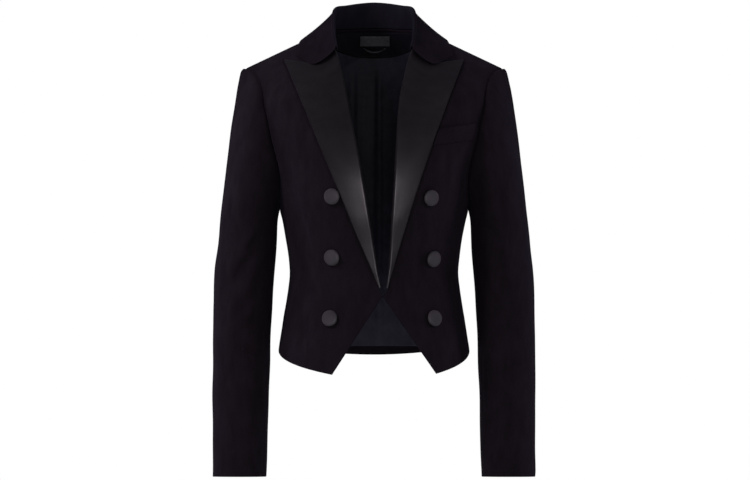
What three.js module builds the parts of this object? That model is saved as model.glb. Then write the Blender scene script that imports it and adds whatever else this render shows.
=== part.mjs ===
import * as THREE from "three";

// A cropped, cutaway velvet dinner jacket with satin peak lapels, filled out as it is worn.
// Sizes are millimetres: +X is the wearer's left, -Y the front, +Z up, the origin at the base of the neck.

// Cloth and seams
const BODY_CLOTH = 2;
const SLEEVE_CLOTH = 1.6;
const LAPEL_CLOTH = 2.2;
const LINING_CLOTH = 1;
const FACING_CLOTH = 1;
const SEAM = 0.3;

// Shoulders and neck
const NECK_HALF = 74;
const NECK_POINT_Z = 16.5;
const BACK_NECK_Z = 20;
const NECK_RISE = 40;
const SHOULDER_SLOPE = 0.4736;
const SHOULDER_Z = -40;
const SHOULDER_ROLL = 75;
const SIDE_Y = 3;
const SHOULDER_BUILD = 1.6;
const SHOULDER_ROUNDING = 0.77;

// Hem and side seam
const SIDE_HEM_Z = -462;
const BACK_HEM_Z = -469.5;
const WAIST_ROW_Z = -372;
const HEM_BOW = 1.5;

// Armhole, an egg seen from the side
const ARMPIT_Z = -243;
const ARM_FRONT = 54;
const ARM_BACK = 58;
const ARM_STEPS = 24;

// Sleeves
const BICEPS_Z = -262;
const CUFF_Z = -651.8;
const FRONT_SEAM_STEP = 10;
const BACK_SEAM_STEP = 17;
const SLEEVE_HEAD = { shoulder: 17, side: 13 };
const SLEEVE_UNDERARM = { shoulder: 8, side: 22 };

// Lapels and collar
const MEET_Z = -382;
const LAPEL_FOOT_Z = -358;
const GORGE_Z = -12;
const PEAK_Z = -27;
const NOTCH_SHARE = 0.325;
const NOTCH_DROP = 18;
const ROLL_RADIUS = 3.6;
const ROLL_LIFT = 0.6;
const EDGE_LIFT = 0.8;
const ROLL_INSET = 3.5;

// Horizontal sections of the body: half width, and reach to the front and back
const TORSO = [
  { z: -520, wide: 150, front: 121, back: 121 },
  { z: -462, wide: 143.3, front: 114, back: 115 },
  { z: -414, wide: 135.6, front: 107, back: 108 },
  { z: -366, wide: 128.1, front: 101, back: 98 },
  { z: -342, wide: 126.6, front: 100, back: 96 },
  { z: -306, wide: 130.4, front: 105, back: 98 },
  { z: -258, wide: 138.8, front: 115, back: 104 },
  { z: -201, wide: 149, front: 119, back: 110 },
  { z: -142, wide: 171, front: 110, back: 115 },
  { z: -102, wide: 181, front: 97, back: 113 },
  { z: -69, wide: 188, front: 85, back: 109 },
  { z: -38, wide: 200, front: 73, back: 103 },
  { z: 60, wide: 206, front: 50, back: 80 },
];
const SECTION_POWER = 2.2;

// Sections of a sleeve: outer and inner edge from the middle, and its front and back
const SLEEVE = [
  { z: -652, outer: 241.9, inner: 161.3, front: -55, back: 27 },
  { z: -606, outer: 241.9, inner: 159.8, front: -54, back: 31 },
  { z: -510, outer: 241.9, inner: 156.6, front: -52, back: 42 },
  { z: -438, outer: 241.6, inner: 155, front: -50, back: 49 },
  { z: -390, outer: 240.8, inner: 152, front: -50, back: 52 },
  { z: -342, outer: 239.1, inner: 149, front: -51, back: 54 },
  { z: -306, outer: 234.5, inner: 146, front: -53, back: 57 },
  { z: -262, outer: 230, inner: 144.2, front: -55, back: 60 },
  { z: -230, outer: 226, inner: 143, front: -56, back: 61 },
];

// Largest folds of the sleeves: soft ridges from one end to the other, seen from the front
const SLEEVE_FOLDS = [
  { side: -1, x1: 178, z1: -288, x2: 222, z2: -352, high: 2.2, wide: 13 },
  { side: -1, x1: 164, z1: -330, x2: 222, z2: -408, high: 2.2, wide: 14 },
  { side: -1, x1: 170, z1: -464, x2: 204, z2: -468, high: -1.2, wide: 9 },
  { side: 1, x1: 216, z1: -500, x2: 176, z2: -540, high: 2.8, wide: 13 },
  { side: 1, x1: 204, z1: -522, x2: 182, z2: -590, high: 2.4, wide: 13 },
  { side: 1, x1: 186, z1: -312, x2: 176, z2: -372, high: 2.6, wide: 13 },
];

// Each front: the fold line of its lapel, its lapel's outer edge, and the cutaway edge below
const FRONTS = {
  right: {
    side: -1,
    roll: [
      { z: -382, x: -12.7 },
      { z: -369, x: -10.5 },
      { z: -258, x: 7.5 },
      { z: -177, x: 21 },
      { z: -117, x: 33 },
      { z: -57, x: 45 },
      { z: -20, x: 54 },
      { z: 5, x: 66 },
      { z: 16.5, x: 74 },
    ],
    point: { x: 63, z: -498.5 },
    lapelFoot: -3,
    peak: 134,
    lapelBow: 0,
  },
  left: {
    side: 1,
    roll: [
      { z: -382, x: 13.1 },
      { z: -369, x: 18.5 },
      { z: -258, x: 26.5 },
      { z: -132, x: 33.8 },
      { z: -87, x: 37.5 },
      { z: -57, x: 43.5 },
      { z: -20, x: 53 },
      { z: 5, x: 66 },
      { z: 16.5, x: 74 },
    ],
    point: { x: 93.5, z: -497 },
    lapelFoot: 23.5,
    peak: 134,
    lapelBow: -5,
  },
};

// Centres of the six covered buttons on the fronts
const BUTTONS = [
  { name: "button_right_top", front: "right", x: -62.4, z: -231.8 },
  { name: "button_right_middle", front: "right", x: -62.4, z: -323 },
  { name: "button_right_bottom", front: "right", x: -65.7, z: -414.3 },
  { name: "button_left_top", front: "left", x: 84.9, z: -234 },
  { name: "button_left_middle", front: "left", x: 88.4, z: -325.2 },
  { name: "button_left_bottom", front: "left", x: 89.7, z: -414.3 },
];
const BUTTON_RADIUS = 12.2;
const BUTTON_RISE = 5.4;
const BUTTON_BEVEL = 1.6;

// Breast pocket welt, on the wearer's left
const WELT_LAPEL_GAP = 1;
const WELT = { outer: 149, innerZ: -143.5, outerZ: -134.5, tall: 23.5, cloth: 1.5 };

// Inside of the back: neck facing, lining, blank label and hanging loop
const FACING_HALF = 66;
const FACING_LOW_Z = -21;
const FACING_RISE = 16;
const LINING_HEM_Z = -456;
const LINING_EASE = 2.4;
const LINING_SHARE = 0.9;
const LINING_SHOULDER_DROP = 28;
const LINING_FOLDS = [
  { x: 8, high: 3.2, wide: 5 },
  { x: -33, high: 2.6, wide: 7 },
  { x: 44, high: 2.4, wide: 8 },
  { x: -72, high: 2, wide: 9 },
  { x: 86, high: 1.8, wide: 10 },
];
const LABEL_PLACE = { left: -22.5, right: 25.5, low: -1.5, high: 13.5, cloth: 0.6 };
const LOOP = { left: -17, right: 18.5, top: -4, sag: 6, cord: 1.1 };

// Collar rows from the middle of the back, share 0, to the gorge, share 1
const COLLAR_FOLD = [
  { share: -0.25, x: -41, y: 42, z: 56.5 },
  { share: 0, x: 0, y: 60, z: 58.5 },
  { share: 0.25, x: 41, y: 42, z: 56.5 },
  { share: 0.5, x: 58, y: 4, z: 49.5 },
  { share: 0.75, x: 60, y: -32, z: 19 },
  { share: 1, x: 56.5, y: -65, z: -7 },
];
const COLLAR_EDGE = [
  { share: -0.25, x: -64, z: -4 },
  { share: 0, x: 0, z: -7 },
  { share: 0.25, x: 64, z: -4 },
  { share: 0.5, x: 102, z: 3 },
  { share: 0.75, x: 114, z: -9 },
  { share: 1, x: 117, z: -22.5 },
];
const COLLAR_LIFT = 1;
const FOLD_RADIUS = 3.2;
const FOLD_TURNS = { inside: -45, outside: 45 };
const FOLD_FOOT = { out: 3.5, up: -5 };
const FALL_SWELL = { out: 1, up: 2 };
const COLLAR_NOTCH = 16;
const COLLAR_CLOTH = 1.6;
const COLLAR_END_SIZE = 0.85;
const COLLAR_END_CLOTH = 1;

const VELVET = new THREE.MeshStandardMaterial({ color: 0x130e15, roughness: 0.95, metalness: 0 });
const SATIN = new THREE.MeshStandardMaterial({ color: 0x28232a, roughness: 0.4, metalness: 0 });
const LINING = new THREE.MeshStandardMaterial({ color: 0x0f1216, roughness: 0.5, metalness: 0 });
const LABEL = new THREE.MeshStandardMaterial({ color: 0x202024, roughness: 0.6, metalness: 0 });

const { lerp, clamp, smoothstep, degToRad } = THREE.MathUtils;
const vector = (x, y, z) => new THREE.Vector3(x, y, z);
const steps = (count) => Array.from({ length: count + 1 }, (_, i) => i / count);
const EVEN = 1e-6;
const signedPower = (value, power) => Math.sign(value) * Math.abs(value) ** power;

// A column of a table as a smooth curve through its rows, which rise in the key column.
function along(table, key, column, at) {
  const last = table.length - 1;
  const t = clamp(at, table[0][key], table[last][key]);
  let i = 0;
  while (i < last - 1 && t > table[i + 1][key]) i += 1;
  const slope = (k) => {
    const before = table[Math.max(k - 1, 0)];
    const after = table[Math.min(k + 1, last)];
    return (after[column] - before[column]) / (after[key] - before[key]);
  };
  const span = table[i + 1][key] - table[i][key];
  const s = (t - table[i][key]) / span;
  const rise = table[i + 1][column] - table[i][column];
  const bend = (1 - s) * (slope(i) * span - rise) - s * (slope(i + 1) * span - rise);
  return table[i][column] + s * rise + s * (1 - s) * bend;
}

// A wall of cloth: a grid over the outer surface point(u, v), and the same grid moved in along the normals.
function wall(point, us, vs, cloth, { flip = false, seamNormal = () => null } = {}) {
  const sign = flip ? -1 : 1;
  const small = 1e-3;
  const slope = (u, v, du, dv) => {
    const ahead = point(clamp(u + du, 0, 1), clamp(v + dv, 0, 1));
    return ahead.sub(point(clamp(u - du, 0, 1), clamp(v - dv, 0, 1)));
  };
  const normal = (u, v) => {
    const across = slope(u, v, small, 0);
    return across.cross(slope(u, v, 0, small)).normalize().multiplyScalar(sign);
  };
  const thick = typeof cloth === "function" ? cloth : () => cloth;
  const outer = [];
  const inner = [];
  for (const v of vs) {
    for (const u of us) {
      const p = point(u, v);
      const n = seamNormal(u, v) ?? normal(u, v);
      outer.push(p);
      inner.push(p.clone().addScaledVector(n, -thick(u, v)));
    }
  }
  const wide = us.length;
  const tall = vs.length;
  const half = outer.length;
  const faces = [];
  const quad = (a, b, c, d) => faces.push(a, b, c, a, c, d);
  for (let i = 0; i < tall - 1; i += 1) {
    for (let j = 0; j < wide - 1; j += 1) {
      const corners = [i * wide + j, i * wide + j + 1, (i + 1) * wide + j + 1, (i + 1) * wide + j];
      const [a, b, c, d] = corners.map((k) => outer[k]);
      if (a.distanceTo(c) > b.distanceTo(d) + EVEN) corners.push(corners.shift());
      quad(...corners);
      const [e, f, g, h] = corners.map((k) => half + k);
      quad(e, h, g, f);
    }
  }
  const rim = (a, b) => quad(b, a, half + a, half + b);
  for (let j = 0; j < wide - 1; j += 1) {
    rim(j, j + 1);
    rim((tall - 1) * wide + j + 1, (tall - 1) * wide + j);
  }
  for (let i = 0; i < tall - 1; i += 1) {
    rim((i + 1) * wide, i * wide);
    rim(i * wide + wide - 1, (i + 1) * wide + wide - 1);
  }
  if (flip) faces.reverse();
  const geometry = new THREE.BufferGeometry();
  geometry.setFromPoints([...outer, ...inner]);
  geometry.setIndex(faces);
  return geometry;
}

const jacket = new THREE.Group();
function add(name, geometry, material) {
  const piece = new THREE.Mesh(geometry, material);
  piece.name = name;
  jacket.add(piece);
  return piece;
}

// Height of the shoulder seam over x, carried on over the neck as the height that the back rolls down from.
function shoulderTop(x) {
  const reach = Math.abs(x);
  if (reach >= NECK_HALF) return NECK_POINT_Z - SHOULDER_SLOPE * (reach - NECK_HALF);
  const share = 1 - (reach / NECK_HALF) ** 2;
  const level = (SHOULDER_SLOPE * NECK_HALF) / 2;
  return NECK_POINT_Z + level * share + (NECK_RISE - level) * share ** 2;
}

// Share of the body's depth that is reached at a drop below the shoulder seam.
function shoulderShare(drop) {
  const t = clamp(drop / SHOULDER_ROLL, 0, 1);
  return (1 - (1 - t) ** SHOULDER_BUILD) ** SHOULDER_ROUNDING;
}

// The body's outer surface: angle 0 is the middle of the front, a quarter turn the wearer's left side.
function torso(angle, z) {
  const x = along(TORSO, "z", "wide", z) * signedPower(Math.sin(angle), 2 / SECTION_POWER);
  return vector(x, torsoY(x, z, Math.cos(angle) >= 0 ? -1 : 1), z);
}

function torsoY(x, z, face) {
  const wide = along(TORSO, "z", "wide", z);
  const across = Math.min(Math.abs(x) / wide, 1);
  const reach = along(TORSO, "z", face < 0 ? "front" : "back", z) - face * SIDE_Y;
  const depth = reach * (1 - across ** SECTION_POWER) ** (1 / SECTION_POWER);
  return SIDE_Y + face * depth * shoulderShare(shoulderTop(x) - z);
}

function torsoNormal(x, z, face) {
  const step = 0.5;
  const at = (dx, dz) => vector(x + dx, torsoY(x + dx, z + dz, face), z + dz);
  const across = at(step, 0).sub(at(-step, 0));
  const up = at(0, step).sub(at(0, -step));
  return across.cross(up).normalize().multiplyScalar(-face);
}

// Angle at which the body's section at height z has half width x.
function angleAt(x, z) {
  const across = clamp(x / along(TORSO, "z", "wide", z), -1, 1);
  return Math.asin(signedPower(across, SECTION_POWER / 2));
}

// The armhole seam on the wearer's left: turn 0 at the shoulder, a quarter at the front, a half underarm.
function armhole(turn) {
  const middle = (SHOULDER_Z + ARMPIT_Z) / 2;
  const z = middle + ((SHOULDER_Z - ARMPIT_Z) / 2) * Math.cos(turn);
  const ahead = Math.sin(turn);
  const reach = (ahead > 0 ? ARM_FRONT : ARM_BACK) * Math.abs(ahead) ** (z > middle ? 1.3 : 1);
  const face = ahead > 0 ? -1 : 1;
  const shoulderX = NECK_HALF + (NECK_POINT_Z - z) / SHOULDER_SLOPE;
  let near = NECK_HALF;
  let far = Math.min(along(TORSO, "z", "wide", z), shoulderX);
  for (let i = 0; i < 40; i += 1) {
    const x = (near + far) / 2;
    if (Math.abs(torsoY(x, z, face) - SIDE_Y) > reach) near = x;
    else far = x;
  }
  return vector(far, SIDE_Y + face * reach, z);
}

// Direction in which the sleeve leaves the armhole on the wearer's left.
function sleeveOut(turn) {
  const side = Math.abs(Math.sin(turn));
  const under = clamp(-Math.cos(turn), 0, 1);
  const out = 0.85 * (1 - 0.75 * under ** 2);
  const down = lerp(0.55 + 0.45 * under, 0.15, side);
  return vector(out, -0.45 * Math.sin(turn), -down).normalize();
}

// Cloth at the armhole points in along one direction on both sides of the seam where the shoulder turns.
function armholeNormal(turn, own) {
  const ahead = Math.sin(turn) > 0 ? -1 : 1;
  const at = armhole(turn);
  const body = Math.abs(Math.sin(turn)) < 1e-6
    ? vector(SHOULDER_SLOPE, 0, 1).normalize()
    : torsoNormal(at.x - 1, at.z - 1, ahead);
  const step = 0.02;
  const run = armhole(turn - step).sub(armhole(turn + step));
  const sleeve = run.cross(sleeveOut(turn)).normalize();
  if (sleeve.dot(vector(0.3, Math.sign(ahead), 0.6)) < 0) sleeve.negate();
  const shared = body.add(sleeve).normalize();
  return own.clone().lerp(shared, clamp(Math.cos(turn), 0, 1)).normalize();
}

const mirrored = (p, side) => vector(p.x * side, p.y, p.z);

// Heights at the side and the armhole turn for a row of a front or the back.
const rowTurn = (v) => Math.PI * (1 - (v - 0.5) / 0.5);
function sideZ(v) {
  if (v < 0.25) return lerp(SIDE_HEM_Z, WAIST_ROW_Z, v / 0.25);
  return lerp(WAIST_ROW_Z, ARMPIT_Z, (v - 0.25) / 0.25);
}
const upper = (v) => Math.sin(((v - 0.5) / 0.5) * (Math.PI / 2));

// A front: its rows run from the front edge or lapel fold to the side seam or armhole.
const CHEST_ROW_Z = -250;
function frontEdge(front, v) {
  if (v < 0.25) {
    const share = v / 0.25;
    return { x: lerp(front.point.x, front.roll[0].x, share), z: lerp(front.point.z, MEET_Z, share) };
  }
  const z = v < 0.5
    ? lerp(MEET_Z, CHEST_ROW_Z, (v - 0.25) / 0.25)
    : lerp(CHEST_ROW_Z, NECK_POINT_Z, upper(v));
  const inset = ROLL_INSET * smoothstep(z, MEET_Z, MEET_Z + 16) * (1 - smoothstep(z, 0, NECK_POINT_Z));
  return { x: along(front.roll, "z", "x", z) + inset, z };
}

function frontPoint(front, u, v) {
  const edge = frontEdge(front, v);
  const end = v <= 0.5 ? torso(Math.PI / 2, sideZ(v)) : armhole(rowTurn(v));
  const start = angleAt(edge.x, edge.z);
  const finish = v <= 0.5 ? Math.PI / 2 : angleAt(end.x, end.z);
  const angle = lerp(start, finish, u);
  let z = lerp(edge.z, end.z, u);
  let x = 0;
  for (let i = 0; i < 6; i += 1) {
    x = along(TORSO, "z", "wide", z) * signedPower(Math.sin(angle), 2 / SECTION_POWER);
    const level = clamp((x - edge.x) / (end.x - edge.x), 0, 1);
    const nearHem = 1 - smoothstep(v, 0, 0.25);
    z = lerp(edge.z, end.z, lerp(level, u, nearHem)) - HEM_BOW * 4 * u * (1 - u) * nearHem;
  }
  const y = torsoY(x, z, -1);
  const seam = u === 1 && v <= 0.5 ? SEAM / 2 : 0;
  const top = v === 1 ? SEAM / 2 : 0;
  return vector(x, y - Math.max(seam, top), z);
}

const LOWER_ROWS = steps(10).map((v) => v / 2);
const UPPER_ROWS = steps(ARM_STEPS / 2).slice(1).map((v) => 0.5 + v / 2);
const BODY_ROWS = [...LOWER_ROWS, ...UPPER_ROWS];

for (const [name, front] of Object.entries(FRONTS)) {
  const point = (u, v) => mirrored(frontPoint(front, u, v), front.side);
  const seamNormal = (u, v) => {
    if (v === 1) return mirrored(vector(SHOULDER_SLOPE, 0, 1).normalize(), front.side);
    if (u === 1 && v > 0.75) {
      const end = armhole(rowTurn(v));
      const own = torsoNormal(end.x - 1, end.z - 1, -1);
      return mirrored(armholeNormal(rowTurn(v), own), front.side);
    }
    return null;
  };
  const geometry = wall(point, steps(12), BODY_ROWS, BODY_CLOTH, { flip: front.side < 0, seamNormal });
  add("front_" + name, geometry, VELVET);
}

// The back, in one piece: outer columns end at the neck points, inner ones run under the collar.
const NECK_COLUMN = 5 / 12;
function backZ(v) {
  if (v < 0.25) return lerp(BACK_HEM_Z, WAIST_ROW_Z, v / 0.25);
  if (v < 0.5) return lerp(WAIST_ROW_Z, CHEST_ROW_Z, (v - 0.25) / 0.25);
  return lerp(CHEST_ROW_Z, BACK_NECK_Z, upper(v));
}

function backHalf(s, v) {
  const end = v <= 0.5 ? torso(Math.PI / 2, sideZ(v)) : armhole(2 * Math.PI - rowTurn(v));
  const middle = backZ(v);
  const chest = lerp(CHEST_ROW_Z, ARMPIT_Z, 0.5);
  const neckZ = v <= 0.5 ? lerp(middle, end.z, 0.5) : lerp(chest, NECK_POINT_Z, upper(v));
  if (s <= NECK_COLUMN) {
    const x = NECK_HALF * Math.sin((s / NECK_COLUMN) * (Math.PI / 2));
    const z = lerp(middle, neckZ, (x / NECK_HALF) ** 2);
    return vector(x, torsoY(x, z, 1), z);
  }
  const share = (s - NECK_COLUMN) / (1 - NECK_COLUMN);
  const start = angleAt(NECK_HALF, neckZ);
  const finish = v <= 0.5 ? Math.PI / 2 : angleAt(end.x, end.z);
  const angle = lerp(start, finish, share);
  let z = lerp(neckZ, end.z, share);
  let x = 0;
  for (let i = 0; i < 6; i += 1) {
    x = along(TORSO, "z", "wide", z) * signedPower(Math.sin(angle), 2 / SECTION_POWER);
    z = lerp(neckZ, end.z, clamp((x - NECK_HALF) / (end.x - NECK_HALF), 0, 1));
  }
  return vector(x, torsoY(x, z, 1), z);
}

function backPoint(u, v) {
  const side = u < 0.5 ? -1 : 1;
  const s = Math.abs(u - 0.5) * 2;
  const p = backHalf(s, v);
  const seam = s === 1 && v <= 0.5 ? SEAM / 2 : 0;
  const top = v === 1 && s >= NECK_COLUMN ? SEAM / 2 : 0;
  return vector(p.x * side, p.y + Math.max(seam, top), p.z);
}

function backSeamNormal(u, v) {
  const side = u < 0.5 ? -1 : 1;
  const s = Math.abs(u - 0.5) * 2;
  if (v === 1 && s >= NECK_COLUMN) return mirrored(vector(SHOULDER_SLOPE, 0, 1).normalize(), side);
  if (s === 1 && v > 0.75) {
    const turn = 2 * Math.PI - rowTurn(v);
    const end = armhole(turn);
    return mirrored(armholeNormal(turn, torsoNormal(end.x - 1, end.z - 1, 1)), side);
  }
  return null;
}
const backOptions = { flip: true, seamNormal: backSeamNormal };
add("back", wall(backPoint, steps(24), BODY_ROWS, BODY_CLOTH, backOptions), VELVET);

// A sleeve: a bent tube below the biceps, and a cap that reaches the armhole above it.
function sleeveRing(turn, z) {
  const outer = along(SLEEVE, "z", "outer", z);
  const inner = along(SLEEVE, "z", "inner", z);
  const front = along(SLEEVE, "z", "front", z);
  const back = along(SLEEVE, "z", "back", z);
  const x = (outer + inner) / 2 + ((outer - inner) / 2) * Math.cos(turn);
  const y = (front + back) / 2 - ((back - front) / 2) * Math.sin(turn);
  return vector(x, y, z);
}

// How far a sleeve's front stands out at a fold: full along the ridge, dying away past its ends.
function foldHeight(side, x, z) {
  let high = 0;
  for (const fold of SLEEVE_FOLDS.filter((f) => f.side === side)) {
    const run = vector(fold.x2 - fold.x1, 0, fold.z2 - fold.z1);
    const from = vector(x - fold.x1, 0, z - fold.z1);
    const share = clamp(from.dot(run) / run.lengthSq(), 0.1, 0.9);
    const away = from.sub(run.multiplyScalar(share)).length();
    high += fold.high * Math.exp(-((away / fold.wide) ** 2));
  }
  return high;
}

const CAP_START = 0.6;
const FOLD_FADE = 0.05;
function sleevePoint(turn, v, side) {
  if (v <= CAP_START) {
    const p = sleeveRing(turn, lerp(CUFF_Z, BICEPS_Z, v / CAP_START));
    const inTube = smoothstep(v, 0, FOLD_FADE) * smoothstep(CAP_START - v, 0, FOLD_FADE);
    const facing = Math.max(Math.sin(turn), 0) * inTube;
    const high = foldHeight(side, p.x, p.z) * facing;
    return p.add(vector(0, -high, 0));
  }
  const t = (v - CAP_START) / (1 - CAP_START);
  const out = sleeveOut(turn);
  const sideways = Math.abs(Math.sin(turn));
  const start = sleeveRing(turn, BICEPS_Z);
  const end = armhole(turn).addScaledVector(out, SEAM + 0.2);
  const climb = start.clone().sub(sleeveRing(turn, BICEPS_Z - 20)).divideScalar(20);
  const lead = start.clone().addScaledVector(climb, Math.max(0.5 * (end.z - start.z), 6));
  const room = Math.cos(turn) < 0 ? SLEEVE_UNDERARM : SLEEVE_HEAD;
  const trail = end.clone().addScaledVector(out, room.shoulder + room.side * sideways);
  return new THREE.CubicBezierCurve3(start, lead, trail, end).getPoint(t);
}

const TUBE_ROWS = steps(18).map((v) => v * CAP_START);
const CAP_ROWS = steps(6).slice(1).map((v) => lerp(CAP_START, 1, v));
const SLEEVE_ROWS = [...TUBE_ROWS, ...CAP_ROWS];
const SLEEVE_SEAM_TURN = 0.0035;

function addSleeve(name, side, from, to) {
  const count = to - from;
  const turnAt = (u) => degToRad(360 / ARM_STEPS) * lerp(from, to, u);
  const seamed = (u) => turnAt(u) + SLEEVE_SEAM_TURN * (1 - 2 * u);
  const point = (u, v) => mirrored(sleevePoint(seamed(u), v, side), side);
  const seamNormal = (u, v) => {
    if (v < 1 || Math.cos(turnAt(u)) <= 0) return null;
    const turn = turnAt(u);
    const step = 0.02;
    const run = armhole(turn - step).sub(armhole(turn + step));
    const own = run.cross(sleeveOut(turn)).normalize();
    if (own.dot(vector(0.3, -Math.sign(Math.sin(turn)), 0.6)) < 0) own.negate();
    return mirrored(armholeNormal(turn, own), side);
  };
  add(name, wall(point, steps(count), SLEEVE_ROWS, SLEEVE_CLOTH, { flip: side > 0, seamNormal }), VELVET);
}
for (const [name, { side }] of Object.entries(FRONTS)) {
  addSleeve("top_sleeve_" + name, side, BACK_SEAM_STEP - ARM_STEPS, FRONT_SEAM_STEP);
  addSleeve("under_sleeve_" + name, side, FRONT_SEAM_STEP, BACK_SEAM_STEP);
}

// A lapel: it rolls over the fold line and lies on the front as far as its outer edge.
const tent = (share, top) => (share < top ? share / top : (1 - share) / (1 - top));
function lapelRow(front, v) {
  const rollZ = lerp(LAPEL_FOOT_Z, GORGE_Z - SEAM, v);
  const edgeZ = lerp(LAPEL_FOOT_Z, PEAK_Z - SEAM, v);
  const roll = { x: along(front.roll, "z", "x", rollZ), z: rollZ };
  const edge = { x: lerp(front.lapelFoot, front.peak, v) + front.lapelBow * 4 * v * (1 - v), z: edgeZ };
  return { roll, edge, wide: Math.hypot(edge.x - roll.x, edge.z - roll.z) };
}
const lapelRadius = (wide) => Math.min(ROLL_RADIUS, wide * 0.42);
const ROLL_SHARE = 0.4;

function lapelPoint(front, u, v) {
  const { roll, edge, wide } = lapelRow(front, v);
  const radius = lapelRadius(wide);
  let across;
  let lift;
  if (u < ROLL_SHARE) {
    const swing = degToRad(lerp(-30, 90, u / ROLL_SHARE));
    across = radius * (1 - Math.cos(swing));
    lift = ROLL_LIFT + radius * Math.sin(swing);
  } else {
    const share = (u - ROLL_SHARE) / (1 - ROLL_SHARE);
    across = lerp(radius, wide, share);
    const cloth = Math.min(LAPEL_CLOTH, radius * 0.6);
    lift = lerp(ROLL_LIFT + radius, EDGE_LIFT + cloth, share);
  }
  const share = across / wide;
  const notch = NOTCH_DROP * tent(share, NOTCH_SHARE) * smoothstep(v, 0.7, 1) ** 2;
  const x = lerp(roll.x, edge.x, share);
  const z = lerp(roll.z, edge.z, share) - notch;
  const base = vector(x, torsoY(x, z, -1), z);
  return base.addScaledVector(torsoNormal(x, z, -1), lift);
}

for (const [name, front] of Object.entries(FRONTS)) {
  const point = (u, v) => mirrored(lapelPoint(front, u, v), front.side);
  const cloth = (u, v) => Math.min(LAPEL_CLOTH, lapelRadius(lapelRow(front, v).wide) * 0.6);
  const rollColumns = steps(4).map((u) => u * ROLL_SHARE);
  const flatColumns = steps(6).slice(1).map((u) => lerp(ROLL_SHARE, 1, u));
  const geometry = wall(point, [...rollColumns, ...flatColumns], steps(18), cloth, { flip: front.side < 0 });
  add("lapel_" + name, geometry, SATIN);
}

// The collar: its stand rises from the neck seam, folds over, and its fall lies down to the outer edge.
function collarFold(share) {
  const at = (column) => along(COLLAR_FOLD, "share", column, share);
  return vector(at("x"), at("y"), at("z"));
}

function collarEdge(share) {
  const x = along(COLLAR_EDGE, "share", "x", share);
  const z = along(COLLAR_EDGE, "share", "z", share);
  const face = share < 0.5 ? 1 : -1;
  const onSeam = 1 - smoothstep(Math.abs(share - 0.5), 0, 0.22);
  const up = torsoNormal(x, z, face).lerp(vector(SHOULDER_SLOPE, 0, 1).normalize(), onSeam).normalize();
  return vector(x, torsoY(x, z, face), z).addScaledVector(up, LAPEL_CLOTH + COLLAR_LIFT);
}

const NECK_TURN_SHARE = 0.45;
function neckSeam(share) {
  if (share < NECK_TURN_SHARE) {
    const x = NECK_HALF * Math.sin((share / NECK_TURN_SHARE) * (Math.PI / 2));
    const z = lerp(BACK_NECK_Z, NECK_POINT_Z, (x / NECK_HALF) ** 2);
    return vector(x, torsoY(x, z, 1), z + 2 * SEAM);
  }
  const z = lerp(NECK_POINT_Z, GORGE_Z, (share - NECK_TURN_SHARE) / (1 - NECK_TURN_SHARE));
  const x = along(FRONTS.right.roll, "z", "x", z);
  return vector(x - 1, torsoY(x, z, -1), z + 6 * SEAM);
}

function collarPoint(u, v) {
  const side = u < 0.5 ? -1 : 1;
  const share = Math.abs(u - 0.5) * 2;
  const fold = collarFold(share);
  const edge = collarEdge(share);
  const outwards = vector(edge.x - fold.x, edge.y - fold.y, 0).normalize();
  const size = lerp(1, COLLAR_END_SIZE, smoothstep(share, 0.6, 1));
  const moved = (from, { out, up }, scale) =>
    from.clone().addScaledVector(outwards, out * scale).add(vector(0, 0, up * scale));
  const rolled = (turn) => {
    const swing = degToRad(turn);
    return moved(fold, { out: Math.sin(swing), up: Math.cos(swing) - 1 }, FOLD_RADIUS * size);
  };
  const stand = moved(fold, { out: -FOLD_FOOT.out, up: FOLD_FOOT.up }, size);
  const fall = moved(fold, FOLD_FOOT, size);
  const middle = moved(fall.clone().lerp(edge, 0.5), FALL_SWELL, 1);
  const notch = COLLAR_NOTCH * smoothstep(share, 0.75, 1) ** 2;
  middle.add(vector(0, -notch, -notch));
  const overFold = [rolled(FOLD_TURNS.inside), fold, rolled(FOLD_TURNS.outside)];
  const curve = new THREE.CatmullRomCurve3([neckSeam(share), stand, ...overFold, fall, middle, edge]);
  return mirrored(curve.getPoint(v), side);
}
const COLLAR_SPANS = [0, 1 / 3, 2 / 3, 1, 1.5, 2, 2.5, 3, 3.5, 4, 4.5, 5, 5.5, 6, 6.5, 7];
const COLLAR_ROWS = COLLAR_SPANS.map((span) => span / 7);
const collarCloth = (u) => lerp(COLLAR_CLOTH, COLLAR_END_CLOTH, smoothstep(Math.abs(2 * u - 1), 0.5, 0.95));
add("collar", wall(collarPoint, steps(24), COLLAR_ROWS, collarCloth, { flip: false }), VELVET);

// Covered buttons: a flat back, a rounded rim and a low dome.
function buttonGeometry() {
  const profile = [new THREE.Vector2(0, 0), new THREE.Vector2(BUTTON_RADIUS - BUTTON_BEVEL, 0)];
  const rim = BUTTON_RISE * 0.35;
  profile.push(new THREE.Vector2(BUTTON_RADIUS, rim));
  for (const share of [0.35, 0.65, 0.85]) {
    const swing = (share * Math.PI) / 2;
    const high = rim + (BUTTON_RISE - rim) * Math.sin(swing);
    profile.push(new THREE.Vector2(BUTTON_RADIUS * Math.cos(swing), high));
  }
  profile.push(new THREE.Vector2(0, BUTTON_RISE));
  return new THREE.LatheGeometry(profile, 16);
}

for (const { name, front, x, z } of BUTTONS) {
  const side = FRONTS[front].side;
  const normal = mirrored(torsoNormal(x * side, z, -1), side);
  const centre = vector(x, torsoY(x, z, -1), z);
  let swell = 0;
  for (const share of steps(8)) {
    const rimX = x + BUTTON_RADIUS * Math.cos(2 * Math.PI * share);
    const rimZ = z + BUTTON_RADIUS * Math.sin(2 * Math.PI * share);
    const cloth = vector(rimX, torsoY(rimX, rimZ, -1), rimZ);
    swell = Math.max(swell, cloth.sub(centre).dot(normal));
  }
  const button = add(name, buttonGeometry(), SATIN);
  button.position.copy(centre).addScaledVector(normal, 1.5 * SEAM + swell);
  button.quaternion.setFromUnitVectors(vector(0, 1, 0), normal);
}

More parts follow.
